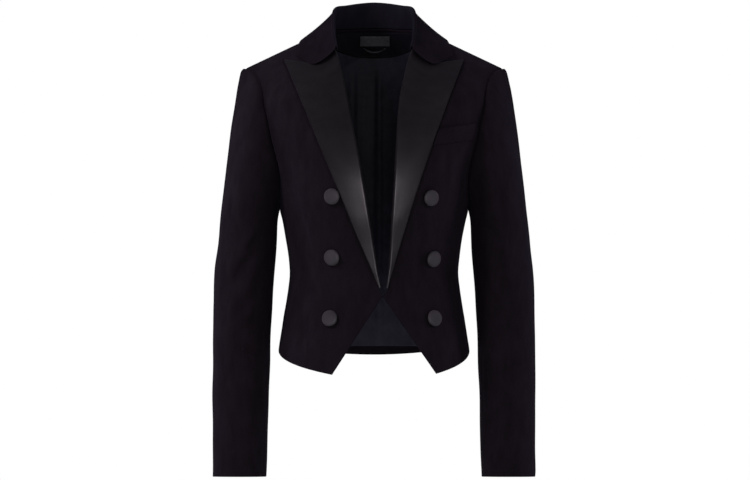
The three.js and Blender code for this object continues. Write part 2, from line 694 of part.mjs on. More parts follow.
// The welt of the breast pocket lies on the left front, from the lapel's edge towards the armhole.
function lapelEdgeX(front, z) {
  const v = (z - LAPEL_FOOT_Z) / (PEAK_Z - LAPEL_FOOT_Z);
  return lapelRow(front, v).edge.x;
}

function weltPoint(u, v) {
  const middle = lerp(WELT.innerZ, WELT.outerZ, u);
  const z = middle + (v - 0.5) * WELT.tall;
  const x = lerp(lapelEdgeX(FRONTS.left, z) + WELT_LAPEL_GAP, WELT.outer + 4 * (v - 0.5), u);
  return vector(x, torsoY(x, z, -1), z).addScaledVector(torsoNormal(x, z, -1), SEAM + WELT.cloth);
}
add("breast_pocket_welt", wall(weltPoint, steps(6), steps(3), WELT.cloth, { flip: false }), VELVET);

// A point inside the back, at a depth below its outer surface.
function insideBack(x, z, depth) {
  return vector(x, torsoY(x, z, 1), z).addScaledVector(torsoNormal(x, z, 1), -depth);
}

const facingLowZ = (x) => FACING_LOW_Z + FACING_RISE * (x / FACING_HALF) ** 2;
const facingHighZ = (x) => lerp(BACK_NECK_Z, NECK_POINT_Z, (x / NECK_HALF) ** 2) - 2;
function facingPoint(u, v) {
  const x = lerp(-FACING_HALF, FACING_HALF, u);
  return insideBack(x, lerp(facingLowZ(x), facingHighZ(x), v), BODY_CLOTH + LINING_EASE);
}
add("back_neck_facing", wall(facingPoint, steps(10), steps(4), FACING_CLOTH, { flip: true }), VELVET);

function liningPoint(u, v) {
  const share = 2 * u - 1;
  const level = Math.min(lerp(LINING_HEM_Z, SHOULDER_Z, v), ARMPIT_Z);
  const armholeX = torso(Math.PI / 2, level).x;
  const x = LINING_SHARE * armholeX * Math.sin((share * Math.PI) / 2);
  const high = Math.min(facingLowZ(x) - 5 * SEAM, shoulderTop(x) - LINING_SHOULDER_DROP);
  const z = lerp(LINING_HEM_Z, high, v);
  let wave = 0;
  for (const fold of LINING_FOLDS) wave += fold.high * Math.exp(-(((x - fold.x) / fold.wide) ** 2));
  const slack = smoothstep(v, 0, 0.12) * smoothstep(1 - v, 0, 0.12);
  return insideBack(x, z, BODY_CLOTH + LINING_EASE + wave * slack);
}
add("back_lining", wall(liningPoint, steps(20), steps(12), LINING_CLOTH, { flip: true }), LINING);

function labelPoint(u, v) {
  const x = lerp(LABEL_PLACE.left, LABEL_PLACE.right, u);
  const z = lerp(LABEL_PLACE.low, LABEL_PLACE.high, v);
  return insideBack(x, z, BODY_CLOTH + LINING_EASE + FACING_CLOTH + 2 * SEAM);
}
add("label", wall(labelPoint, steps(4), steps(1), LABEL_PLACE.cloth, { flip: true }), LABEL);

// The hanging loop sags between two ends just off the facing.
function loopGeometry() {
  const off = BODY_CLOTH + LINING_EASE + FACING_CLOTH + 2 * SEAM + LOOP.cord;
  const points = steps(8).map((share) => {
    const x = lerp(LOOP.left, LOOP.right, share);
    const hang = 4 * share * (1 - share);
    return insideBack(x, LOOP.top - LOOP.sag * hang, off + 1.5 * hang);
  });
  const section = new THREE.Shape();
  section.absarc(0, 0, LOOP.cord, 0, 2 * Math.PI);
  const path = new THREE.CatmullRomCurve3(points);
  return new THREE.ExtrudeGeometry(section, { steps: 12, curveSegments: 4, extrudePath: path });
}
add("hanging_loop", loopGeometry(), SATIN);

export default jacket;
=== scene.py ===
import bpy
import math
import numpy as np
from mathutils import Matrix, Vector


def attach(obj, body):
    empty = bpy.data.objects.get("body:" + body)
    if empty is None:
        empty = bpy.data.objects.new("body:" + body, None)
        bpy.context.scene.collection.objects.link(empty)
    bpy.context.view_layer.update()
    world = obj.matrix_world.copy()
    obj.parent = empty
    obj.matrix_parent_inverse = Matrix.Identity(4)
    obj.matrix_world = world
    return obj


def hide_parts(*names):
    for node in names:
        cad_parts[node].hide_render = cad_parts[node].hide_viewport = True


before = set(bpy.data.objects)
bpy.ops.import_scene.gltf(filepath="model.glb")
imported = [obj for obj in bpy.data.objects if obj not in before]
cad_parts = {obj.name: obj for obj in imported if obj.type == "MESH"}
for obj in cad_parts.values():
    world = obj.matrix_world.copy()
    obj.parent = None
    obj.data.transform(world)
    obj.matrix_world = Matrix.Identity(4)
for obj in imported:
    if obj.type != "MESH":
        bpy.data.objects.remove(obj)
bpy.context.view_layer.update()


# The two fronts. Each is one piece of cotton velvet, shaped by a long dart under the bust and
# cut away below the point where the two meet. Its edge rolls back under the lapel, and its side
# is sewn to the back. Sizes here are millimetres, and the meshes are made in metres.
BODY_CLOTH = 2
NECK_HALF = 74
NECK_POINT_Z = 16.5
NECK_RISE = 40
SHOULDER_SLOPE = 0.4736
SHOULDER_Z = -40
SHOULDER_ROLL = 75
SHOULDER_BUILD = 1.6
SHOULDER_ROUNDING = 0.77
SIDE_Y = 3
SIDE_HEM_Z = -462
WAIST_ROW_Z = -372
HEM_BOW = 1.5
CHEST_ROW_Z = -250
ARMPIT_Z = -243
# Shares of the height from hem to neck at the waist and at the underarm
WAIST_SHARE = 0.25
CHEST_SHARE = 0.5
ARM_FRONT = 54
ARM_BACK = 58
MEET_Z = -382
ROLL_INSET = 3.5
ROLL_INSET_RISE = 16
SECTION_POWER = 2.2
SEAM_UNDERLAP = 0.5
ARMHOLE_UNDERLAP = 2.6
SIDE_FULLNESS = 1.6
SIDE_FULLNESS_Z = -251
SEAM_DEPTH = 0.75
FLAT_SEAM_DEPTH = 0.25
SEAM_WIDE = 2.4
CREASE_FREE_EDGE = 9
FACING_WIDE = 70
FRONT_LINING_Z = -470
LAPEL_FOOT_Z = -358
PEAK_Z = -27
PEAK_X = 134
TORSO = {
    "z": [-520, -462, -414, -366, -342, -306, -258, -201, -142, -102, -69, -38, 60],
    "wide": [150, 143.3, 135.6, 128.1, 126.6, 130.4, 138.8, 149, 171, 181, 188, 200, 206],
    "front": [121, 114, 107, 101, 100, 105, 115, 119, 110, 97, 85, 73, 50],
    "back": [121, 115, 108, 98, 96, 98, 104, 110, 115, 113, 109, 103, 80],
}
FRONTS = {
    "right": {
        "side": -1,
        "roll": {
            "z": [-382, -369, -258, -177, -117, -57, -20, 5, 16.5],
            "x": [-12.7, -10.5, 7.5, 21, 33, 45, 54, 66, 74],
        },
        "point": (63, -498.5),
        "lapel_foot": -3,
        "lapel_bow": 0,
        "dart": [(99, -236), (103.5, -303), (106, -380), (107, -484)],
        "welt_lines": [],
        "button_spots": [(62.4, -231.8), (62.4, -323), (65.7, -414.3)],
        "edge_roll": 1.3,
        "cut": (0.262, 0.555, 0.0834),
    },
    "left": {
        "side": 1,
        "roll": {
            "z": [-382, -369, -258, -132, -87, -57, -20, 5, 16.5],
            "x": [13.1, 18.5, 26.5, 33.8, 37.5, 43.5, 53, 66, 74],
        },
        "point": (93.5, -497),
        "lapel_foot": 23.5,
        "lapel_bow": -5,
        "dart": [(106.5, -190), (117, -222), (123, -262), (119, -330), (118, -484)],
        "welt_lines": [[(90, -129), (152, -121)], [(85, -157.5), (147, -148.5)]],
        "button_spots": [(84.9, -234), (88.4, -325.2), (89.7, -414.3)],
        "edge_roll": 0,
        "cut": (0.25, 0.555, 0.0759),
    },
}
# Soft creases on both fronts: start x and z, end x and z, bow, height and width
FRONT_CREASES = {
    "right": [
        (128, -252, 100, -290, 3, -1.1, 8),
        (132, -262, 112, -318, -2, 0.9, 9),
        (122, -350, 84, -338, 3, -0.8, 7),
        (126, -372, 80, -362, -2, 0.7, 9),
        (118, -330, 92, -352, 2, 0.6, 8),
        (70, -300, 20, -366, 4, 0.6, 11),
        (150, -120, 120, -168, 3, -0.7, 12),
        (92, -430, 84, -486, 1, 0.7, 12),
        (132, -398, 126, -458, 1, 0.8, 11),
    ],
    "left": [
        (132, -250, 108, -276, -3, -1.0, 8),
        (134, -268, 104, -306, 2, 0.8, 10),
        (124, -342, 96, -350, 3, -0.9, 8),
        (124, -366, 88, -352, -2, 0.6, 8),
        (72, -292, 34, -352, -3, 0.7, 12),
        (146, -104, 128, -138, 2, -0.6, 11),
        (112, -420, 108, -482, 1, 0.6, 10),
        (134, -402, 130, -455, -1, 0.7, 10),
    ],
}


def smooth(value, low, high):
    share = np.clip((value - low) / (high - low), 0, 1)
    return share * share * (3 - 2 * share)


def lerp(a, b, share):
    return a + (b - a) * share


def along(rows, key, column, at):
    keys, values = np.array(rows[key], float), np.array(rows[column], float)
    last = len(keys) - 1
    t = np.clip(at, keys[0], keys[-1])
    i = np.minimum(np.searchsorted(keys[1:], t), last - 1)
    before, after = np.maximum(np.arange(last + 1) - 1, 0), np.minimum(np.arange(last + 1) + 1, last)
    slope = (values[after] - values[before]) / (keys[after] - keys[before])
    span, rise = keys[i + 1] - keys[i], values[i + 1] - values[i]
    s = (t - keys[i]) / span
    bend = (1 - s) * (slope[i] * span - rise) - s * (slope[i + 1] * span - rise)
    return values[i] + s * rise + s * (1 - s) * bend


def points(x, y, z):
    return np.stack(np.broadcast_arrays(x, y, z), -1).astype(float)


def unit(vectors):
    return vectors / np.maximum(np.linalg.norm(vectors, axis=-1, keepdims=True), 1e-9)


def shoulder_top(x):
    reach = np.abs(x)
    share = 1 - np.minimum(reach / NECK_HALF, 1) ** 2
    level = SHOULDER_SLOPE * NECK_HALF / 2
    over_neck = NECK_POINT_Z + level * share + (NECK_RISE - level) * share ** 2
    return np.where(reach >= NECK_HALF, NECK_POINT_Z - SHOULDER_SLOPE * (reach - NECK_HALF), over_neck)


def torso_y(x, z, face):
    wide = along(TORSO, "z", "wide", z)
    column = np.where(np.asarray(face) < 0, along(TORSO, "z", "front", z), along(TORSO, "z", "back", z))
    across = np.minimum(np.abs(x) / wide, 1)
    depth = (column - face * SIDE_Y) * (1 - across ** SECTION_POWER) ** (1 / SECTION_POWER)
    drop = np.clip((shoulder_top(x) - z) / SHOULDER_ROLL, 0, 1)
    return SIDE_Y + face * depth * (1 - (1 - drop) ** SHOULDER_BUILD) ** SHOULDER_ROUNDING


def torso_normal(x, z, face):
    step = 0.5
    across = points(2 * step, torso_y(x + step, z, face) - torso_y(x - step, z, face), 0)
    up = points(0, torso_y(x, z + step, face) - torso_y(x, z - step, face), 2 * step)
    return unit(np.cross(across, up)) * -np.asarray(face, float)[..., None]


def angle_at(x, z):
    across = np.clip(x / along(TORSO, "z", "wide", z), -1, 1)
    return np.arcsin(np.sign(across) * np.abs(across) ** (SECTION_POWER / 2))


def x_at(angle, z):
    sine = np.sin(angle)
    return along(TORSO, "z", "wide", z) * np.sign(sine) * np.abs(sine) ** (2 / SECTION_POWER)


def armhole(turn):
    turn = np.asarray(turn, float)
    middle = (SHOULDER_Z + ARMPIT_Z) / 2
    z = middle + (SHOULDER_Z - ARMPIT_Z) / 2 * np.cos(turn)
    ahead = np.sin(turn)
    power = np.where(z > middle, 1.3, 1)
    reach = np.where(ahead > 0, ARM_FRONT, ARM_BACK) * np.abs(ahead) ** power
    face = np.where(ahead > 0, -1, 1)
    near = np.full(z.shape, float(NECK_HALF))
    far = np.minimum(along(TORSO, "z", "wide", z), NECK_HALF + (NECK_POINT_Z - z) / SHOULDER_SLOPE)
    for _ in range(40):
        x = (near + far) / 2
        inside = np.abs(torso_y(x, z, face) - SIDE_Y) > reach
        near, far = np.where(inside, x, near), np.where(inside, far, x)
    return points(far, SIDE_Y + face * reach, z)


def below_arm(v, hem, waist, chest):
    to_chest = lerp(waist, chest, (v - WAIST_SHARE) / (CHEST_SHARE - WAIST_SHARE))
    return np.where(v < WAIST_SHARE, lerp(hem, waist, v / WAIST_SHARE), to_chest)


def side_point(v, turn):
    low = below_arm(v, SIDE_HEM_Z, WAIST_ROW_Z, ARMPIT_Z)
    on_side = points(along(TORSO, "z", "wide", low), SIDE_Y, low)
    return np.where((v <= CHEST_SHARE)[..., None], on_side, armhole(turn))


def upper(v):
    return np.sin((v - CHEST_SHARE) / (1 - CHEST_SHARE) * math.pi / 2)


def front_point(front, u, v):
    share = np.clip(v / WAIST_SHARE, 0, 1)
    corner_x, corner_z = front["point"]
    to_chest = lerp(MEET_Z, CHEST_ROW_Z, (v - WAIST_SHARE) / (CHEST_SHARE - WAIST_SHARE))
    z = np.where(v < CHEST_SHARE, to_chest, lerp(CHEST_ROW_Z, NECK_POINT_Z, upper(v)))
    inset = ROLL_INSET * smooth(z, MEET_Z, MEET_Z + ROLL_INSET_RISE) * (1 - smooth(z, 0, NECK_POINT_Z))
    below = v < WAIST_SHARE
    on_roll = along(front["roll"], "z", "x", z) + inset
    edge_x = np.where(below, lerp(corner_x, front["roll"]["x"][0], share), on_roll)
    edge_z = np.where(below, lerp(corner_z, MEET_Z, share), z)
    end = side_point(v, math.pi * (1 - (v - CHEST_SHARE) / (1 - CHEST_SHARE)))
    finish = np.where(v <= CHEST_SHARE, math.pi / 2, angle_at(end[..., 0], end[..., 2]))
    angle = lerp(angle_at(edge_x, edge_z), finish, u)
    near_hem = 1 - smooth(v, 0, WAIST_SHARE)
    z = lerp(edge_z, end[..., 2], u)
    for _ in range(6):
        x = x_at(angle, z)
        level = np.clip((x - edge_x) / (end[..., 0] - edge_x), 0, 1)
        z = lerp(edge_z, end[..., 2], lerp(level, u, near_hem)) - HEM_BOW * 4 * u * (1 - u) * near_hem
    return points(x, torso_y(x, z, -1), z)


def lapel_edge_x(front, v):
    return lerp(front["lapel_foot"], PEAK_X, v) + front["lapel_bow"] * 4 * v * (1 - v)


def spaced(length, pitch, edge=BODY_CLOTH):
    rim = np.array([0, 0.12, 0.35, 0.7]) * edge / length
    inner = np.linspace(edge / length, 1 - edge / length, max(int(length / pitch), 3))
    return np.concatenate([rim, inner, 1 - rim[::-1]])


def normals_of(grid, out):
    return out * unit(np.cross(np.gradient(grid, axis=1), np.gradient(grid, axis=0)))


def runs(grid):
    across = np.cumsum(np.linalg.norm(np.diff(grid, axis=1, prepend=grid[:, :1]), axis=-1), axis=1)
    up = np.cumsum(np.linalg.norm(np.diff(grid, axis=0, prepend=grid[:1]), axis=-1), axis=0)
    return across, up


def to_border(grid):
    across, up = runs(grid)
    return np.minimum.reduce([across, across[:, -1:] - across, up, up[-1:] - up])


def creased(grid, out, relief, sewn=(0, 0, 0, 0)):
    across, up = runs(grid)
    distances = [up, up[-1:] - up, across, across[:, -1:] - across]
    seams = [deep * np.exp(-(away / SEAM_WIDE) ** 2) for deep, away in zip(sewn, distances)]
    drawn_in = -np.maximum.reduce(seams)
    fade = smooth(to_border(grid), 0, CREASE_FREE_EDGE)
    return grid + normals_of(grid, out) * (relief * fade + drawn_in)[..., None]


def creases(rows, x, z, strength=1):
    total = np.zeros(np.shape(x))
    for x1, z1, x2, z2, bow, high, wide in rows:
        length = math.hypot(x2 - x1, z2 - z1)
        run_x, run_z = (x2 - x1) / length, (z2 - z1) / length
        at = ((x - x1) * run_x + (z - z1) * run_z) / length
        s = np.clip(at, 0, 1)
        away = (x - x1) * run_z - (z - z1) * run_x - bow * 4 * s * (1 - s)
        beyond = (at - s) * length
        swell = 0.3 + 0.7 * np.sin(math.pi * s)
        total += high * swell * np.exp(-(away / wide) ** 2 - (beyond / (1.4 * wide)) ** 2)
    return strength * total


def unevenness(a, b, seed, high):
    chance = np.random.default_rng(seed)
    total = np.zeros(np.shape(a))
    for _ in range(9):
        length, turn, start = chance.uniform(38, 130), chance.uniform(0, math.pi), chance.uniform(0, 7)
        total += np.sin(2 * math.pi * (a * math.cos(turn) + b * math.sin(turn)) / length + start)
    return high * total / 3


def groove(line, x, z, deep, wide):
    nearest = np.full(np.shape(x), 1e9)
    for (x1, z1), (x2, z2) in zip(line, line[1:]):
        run = np.array([x2 - x1, z2 - z1])
        s = np.clip(((x - x1) * run[0] + (z - z1) * run[1]) / (run @ run), 0, 1)
        nearest = np.minimum(nearest, np.hypot(x - x1 - s * run[0], z - z1 - s * run[1]))
    return -deep * np.exp(-(nearest / wide) ** 2)


def shell(name, grid, cloth, out, outside, second=None, grow=(0, 0, 0, 0)):
    bottom, top, left, right = grow
    grid = grid.copy()
    grid[0] += bottom * unit(grid[0] - grid[3])
    grid[-1] += top * unit(grid[-1] - grid[-4])
    grid[:, 0] += left * unit(grid[:, 0] - grid[:, 3])
    grid[:, -1] += right * unit(grid[:, -1] - grid[:, -4])
    normal = normals_of(grid, out)
    thick = np.broadcast_to(np.asarray(cloth, float), grid.shape[:2])
    share = np.clip(to_border(grid) / (0.6 * thick), 0, 1)
    rounding = np.sqrt(1 - (1 - share) ** 2)
    outer = grid - normal * (thick / 2 * (1 - rounding))[..., None]
    inner = grid - normal * (thick / 2 * (1 + rounding))[..., None]
    rows, columns = grid.shape[:2]
    ids = np.arange(rows * columns).reshape(rows, columns)
    border = np.ones_like(ids, bool)
    border[1:-1, 1:-1] = False
    inner_ids = ids.copy()
    inner_ids[~border] = rows * columns + np.arange((~border).sum())
    vertices = np.concatenate([outer.reshape(-1, 3), inner[~border]]) / 1000

    def quads(i):
        faces = np.stack([i[:-1, :-1], i[:-1, 1:], i[1:, 1:], i[1:, :-1]], -1).reshape(-1, 4)
        return faces if out > 0 else faces[:, ::-1]

    faces = np.concatenate([quads(ids), quads(inner_ids)[:, ::-1]])
    mesh = bpy.data.meshes.new(name)
    mesh.from_pydata(vertices.tolist(), [], faces.tolist())
    across, up = runs(grid)
    middle_up = up[:, columns // 2:columns // 2 + 1]
    flat = np.stack(np.broadcast_arrays(across[rows // 2], middle_up), -1)
    uv = np.concatenate([flat.reshape(-1, 2), flat[~border]]) / 1000
    corners = np.empty(len(mesh.loops), np.int32)
    mesh.loops.foreach_get("vertex_index", corners)
    mesh.uv_layers.new(name="cut").data.foreach_set("uv", uv[corners].ravel())
    mesh.materials.append(outside)
    if second is not None:
        mesh.materials.append(second[0])
        cells = [np.broadcast_to(where, ids.shape)[:-1, :-1].ravel() for where in second[1:]]
        mesh.polygons.foreach_set("material_index", np.concatenate(cells).astype(np.int32))
    mesh.shade_smooth()
    mesh.update()
    piece = bpy.data.objects.new(name, mesh)
    bpy.context.scene.collection.objects.link(piece)
    return piece


def stand_for(piece, slot, *nodes):
    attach(piece, "root")
    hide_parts(*nodes)
    return piece


def finish_nodes(name):
    material = bpy.data.materials.new(name)
    material.use_nodes = True
    nodes = material.node_tree.nodes
    return material, nodes, material.node_tree.links, nodes["Principled BSDF"]


def noise(nodes, links, source, scale, detail=3, rough=0.55):
    texture = nodes.new("ShaderNodeTexNoise")
    for label, value in {"Scale": scale, "Detail": detail, "Roughness": rough}.items():
        texture.inputs[label].default_value = value
    links.new(source, texture.inputs["Vector"])
    return texture.outputs["Fac"]


def tones(nodes, links, value, low, high, start=0.3, end=0.7):
    ramp = nodes.new("ShaderNodeValToRGB")
    ramp.color_ramp.elements[0].position, ramp.color_ramp.elements[1].position = start, end
    ramp.color_ramp.elements[0].color, ramp.color_ramp.elements[1].color = (*low, 1), (*high, 1)
    links.new(value, ramp.inputs["Fac"])
    return ramp.outputs["Color"]


def bumps(nodes, links, shader, layers):
    last = None
    for height, strength, distance in layers:
        bump = nodes.new("ShaderNodeBump")
        bump.inputs["Strength"].default_value = strength
        bump.inputs["Distance"].default_value = distance
        links.new(height, bump.inputs["Height"])
        if last is not None:
            links.new(last, bump.inputs["Normal"])
        last = bump.outputs["Normal"]
    links.new(last, shader.inputs["Normal"])


def velvet_finish(name, low, high, sheen):
    material, nodes, links, shader = finish_nodes(name)
    place = nodes.new("ShaderNodeTexCoord").outputs["Object"]
    brushed = nodes.new("ShaderNodeMapping")
    brushed.inputs["Scale"].default_value = (1, 1, 0.35)
    links.new(place, brushed.inputs["Vector"])
    marks = noise(nodes, links, brushed.outputs["Vector"], 60, 6, 0.65)
    pile = noise(nodes, links, place, 1500, 2)
    clumps = noise(nodes, links, place, 330, 3)
    links.new(tones(nodes, links, marks, low, high, 0.36, 0.66), shader.inputs["Base Color"])
    shader.inputs["Roughness"].default_value = 0.85
    shader.inputs["Specular IOR Level"].default_value = 0.04
    shader.inputs["Sheen Weight"].default_value = sheen
    shader.inputs["Sheen Roughness"].default_value = 0.42
    shader.inputs["Sheen Tint"].default_value = (0.6, 0.5, 0.78, 1)
    bumps(nodes, links, shader, [(marks, 0.35, 0.0016), (clumps, 0.3, 0.0005), (pile, 0.35, 0.0002)])
    return material


def lining_finish(name):
    material, nodes, links, shader = finish_nodes(name)
    cut = nodes.new("ShaderNodeTexCoord").outputs["UV"]
    twill = nodes.new("ShaderNodeTexWave")
    twill.bands_direction = "DIAGONAL"
    twill.inputs["Scale"].default_value = 900
    twill.inputs["Distortion"].default_value = 0.4
    links.new(cut, twill.inputs["Vector"])
    cloud = noise(nodes, links, cut, 55, 4)
    fine = noise(nodes, links, cut, 420, 2)
    blue_black = tones(nodes, links, cloud, (0.027, 0.0255, 0.04), (0.038, 0.0365, 0.055))
    links.new(blue_black, shader.inputs["Base Color"])
    shader.inputs["Roughness"].default_value = 0.6
    shader.inputs["Specular IOR Level"].default_value = 0.05
    shader.inputs["Sheen Weight"].default_value = 0.02
    weave = twill.outputs["Fac"]
    bumps(nodes, links, shader, [(cloud, 0.2, 0.001), (fine, 0.12, 0.0003), (weave, 0.25, 0.0001)])
    return material


VELVET = velvet_finish("cotton_velvet", (0.0074, 0.005, 0.0078), (0.0108, 0.0075, 0.0114), 0.035)
LINING = lining_finish("body_lining")
BODY_ROWS = np.unique(np.concatenate([
    np.linspace(0, WAIST_SHARE, 36), np.linspace(WAIST_SHARE, CHEST_SHARE, 46)[1:],
    np.linspace(CHEST_SHARE, 1, 84)[1:], [0.0006, 0.0018, 0.0036, 0.97, 0.985, 0.9975, 0.999],
]))
BODY_CREASE_STRENGTH = 1.3
DART_SEAM = (0.8, 3.2)
WELT_SEAM = (1.3, 1.6)
LAPEL_PRESS = (1.4, 1.5)
BUTTON_DIMPLE = (0.7, 17)


def at_underarm(z):
    return np.exp(-((z - SIDE_FULLNESS_Z) / 13) ** 2)


def armhole_seam(v):
    return lerp(FLAT_SEAM_DEPTH, SEAM_DEPTH, smooth(v, 0.56, 0.68))


def armhole_tuck(v):
    return lerp(SEAM_UNDERLAP, ARMHOLE_UNDERLAP, smooth(v[:, -1:], 0.52, 0.6))


for name, front in FRONTS.items():
    u, v = np.meshgrid(spaced(185, 2), BODY_ROWS)
    side = front["side"]
    grid = front_point(front, u, v)
    x, z = grid[..., 0], grid[..., 2]
    relief = creases(FRONT_CREASES[name], x, z, BODY_CREASE_STRENGTH) + unevenness(x, z, 11 + side, 0.35)
    dart_top = front["dart"][0][1]
    relief += groove(front["dart"], x, z, *DART_SEAM) * smooth(dart_top - z, -4, 40)
    relief += sum(groove(line, x, z, *WELT_SEAM) for line in front["welt_lines"])
    for at_x, at_z in front["button_spots"]:
        relief -= BUTTON_DIMPLE[0] * np.exp(-(np.hypot(x - at_x, z - at_z) / BUTTON_DIMPLE[1]) ** 4)
    relief += front["edge_roll"] * groove([(-4, -386), (19, -425)], x, z, -1, 5)
    down_lapel = np.linspace(0, 1, 9)
    beside_lapel = zip(lapel_edge_x(front, down_lapel) + 1.2, lerp(LAPEL_FOOT_Z, PEAK_Z, down_lapel))
    relief += groove(list(beside_lapel), x, z, *LAPEL_PRESS)
    relief += SIDE_FULLNESS * at_underarm(z) * smooth(u, 0.75, 1)
    grid = creased(grid, 1, relief, (0, 0, 0, armhole_seam(v))) * (side, 1, 1)
    lined = (x > along(front["roll"], "z", "x", z) + FACING_WIDE) & (z > FRONT_LINING_Z)
    piece = shell("front_cloth_" + name, grid, BODY_CLOTH, side, VELVET, (LINING, False, lined),
                  (0, SEAM_UNDERLAP, 0, armhole_tuck(v)))
    stand_for(piece, "velvet", "front_" + name)


# The breast pocket's welt, on the wearer's left. It is a folded strip of velvet, sewn along its
# lower edge and its two ends, so that its top edge stands a little off the front.
WELT = {"outer": 149, "inner_z": -143.5, "outer_z": -134.5, "tall": 23.5, "cloth": 1.5, "lapel_gap": 1}
SEAM = 0.3


def welt_point(u, v):
    z = lerp(WELT["inner_z"], WELT["outer_z"], u) + (v - 0.5) * WELT["tall"]
    inner = lapel_edge_x(FRONTS["left"], (z - LAPEL_FOOT_Z) / (PEAK_Z - LAPEL_FOOT_Z)) + WELT["lapel_gap"]
    x = lerp(inner, WELT["outer"] + 4 * (v - 0.5), u)
    lift = SEAM + WELT["cloth"] + 1.3 * smooth(v, 0.5, 1) * np.sin(math.pi * np.clip(u, 0.02, 0.98))
    return points(x, torso_y(x, z, -1), z) + torso_normal(x, z, np.full(np.shape(x), -1)) * lift[..., None]


u, v = np.meshgrid(spaced(66, 1.2, 1.5), spaced(23.5, 1.2, 1.5))
grid = welt_point(u, v)
grid = creased(grid, 1, unevenness(grid[..., 0], grid[..., 2], 5, 0.12))
welt = shell("welt_cloth", grid, WELT["cloth"], 1, VELVET)
stand_for(welt, "velvet", "breast_pocket_welt")


# The back, one piece of velvet from side to side. Inside its hem the velvet is turned up, and
# the lining starts above that. It carries soft drag lines across the waist and the blades.
BACK_NECK_Z = 20
BACK_HEM_Z = -469.5
NECK_COLUMN = 5 / 12
BACK_CREASES = [
    (-112, -246, -58, -318, 6, 1.3, 12),
    (110, -250, 62, -308, -5, 1.2, 12),
    (-120, -338, -44, -350, 5, -1.2, 9),
    (116, -332, 34, -352, -6, -1.3, 9),
    (-108, -366, -22, -362, -5, 0.9, 11),
    (104, -370, 30, -364, 5, 0.9, 11),
    (-134, -116, -92, -196, -5, -1.1, 13),
    (136, -110, 96, -188, 5, -1.0, 13),
    (-50, -62, 48, -60, 4, 0.8, 14),
    (-30, -400, -36, -462, 2, 0.7, 14),
    (48, -392, 56, -460, -2, 0.8, 13),
]


def back_point(u, v):
    s = np.abs(u - 0.5) * 2
    end = side_point(v, 2 * math.pi - math.pi * (1 - (v - CHEST_SHARE) / (1 - CHEST_SHARE)))
    low = below_arm(v, BACK_HEM_Z, WAIST_ROW_Z, CHEST_ROW_Z)
    middle = np.where(v < CHEST_SHARE, low, lerp(CHEST_ROW_Z, BACK_NECK_Z, upper(v)))
    chest = (CHEST_ROW_Z + ARMPIT_Z) / 2
    neck_z = np.where(v <= CHEST_SHARE, (middle + end[..., 2]) / 2, lerp(chest, NECK_POINT_Z, upper(v)))
    inner_x = NECK_HALF * np.sin(np.clip(s / NECK_COLUMN, 0, 1) * math.pi / 2)
    inner_z = lerp(middle, neck_z, (inner_x / NECK_HALF) ** 2)
    share = np.clip((s - NECK_COLUMN) / (1 - NECK_COLUMN), 0, 1)
    finish = np.where(v <= CHEST_SHARE, math.pi / 2, angle_at(end[..., 0], end[..., 2]))
    angle = lerp(angle_at(NECK_HALF, neck_z), finish, share)
    z = lerp(neck_z, end[..., 2], share)
    for _ in range(6):
        x = x_at(angle, z)
        z = lerp(neck_z, end[..., 2], np.clip((x - NECK_HALF) / (end[..., 0] - NECK_HALF), 0, 1))
    under_collar = s <= NECK_COLUMN
    x, z = np.where(under_collar, inner_x, x), np.where(under_collar, inner_z, z)
    return points(x * np.where(u < 0.5, -1, 1), torso_y(x, z, 1), z)


u, v = np.meshgrid(spaced(400, 2.8), BODY_ROWS)
grid = back_point(u, v)
x, z = grid[..., 0], grid[..., 2]
relief = creases(BACK_CREASES, x, z) + unevenness(x, z, 23, 0.45)
relief += SIDE_FULLNESS * at_underarm(z) * smooth(np.abs(2 * u - 1), 0.8, 1)
grid = creased(grid, -1, relief, (0, 0, armhole_seam(v), armhole_seam(v)))
tucks = (0, SEAM_UNDERLAP, armhole_tuck(v), armhole_tuck(v))
back = shell("back_cloth", grid, BODY_CLOTH, -1, VELVET, None, tucks)
stand_for(back, "velvet", "back")


# The sleeves, each a top sleeve and an under sleeve of velvet. Two seams, tucked to the inner
# side, join them. The cap is eased into the armhole, and the cloth breaks softly at the elbow.
SLEEVE_CLOTH = 1.6
BICEPS_Z = -262
CUFF_Z = -651.8
ARM_STEPS = 24
FRONT_SEAM_STEP = 10
BACK_SEAM_STEP = 17
CAP_START = 0.6
CAP_UNDERLAP = 3.2
SLEEVE_HEAD_FULLNESS = 1.2
SLEEVE_HEAD_LIFT = 2.4
SLEEVE_HOLLOW = 1.2
UNDERARM_FULLNESS = 2
SLEEVE_CREASE_STRENGTH = 1.8
SLEEVE_HEM = 38
# How far the cap runs straight out from the armhole: at the head, the sides and the underarm
HEAD_ROOM = 17
SIDE_ROOM = 30
UNDER_ROOM = 8
SLEEVE = {
    "z": [-652, -606, -510, -438, -390, -342, -306, -262, -230],
    "outer": [241.9, 241.9, 241.9, 241.6, 240.8, 239.1, 234.5, 230, 226],
    "inner": [161.3, 159.8, 156.6, 155, 152, 149, 146, 144.2, 143],
    "front": [-55, -54, -52, -50, -50, -51, -53, -55, -56],
    "back": [27, 31, 42, 49, 52, 54, 57, 60, 61],
}
# The largest folds on a sleeve's front: start x and z, end x and z, height and width
MAIN_FOLDS = {
    -1: [(178, -288, 222, -352, 3.2, 13), (164, -330, 222, -408, 3.4, 14), (170, -464, 204, -468, -1.6, 9)],
    1: [(216, -500, 176, -540, 2.8, 13), (204, -522, 182, -590, 2.4, 13), (186, -312, 176, -372, 2.6, 13)],
}
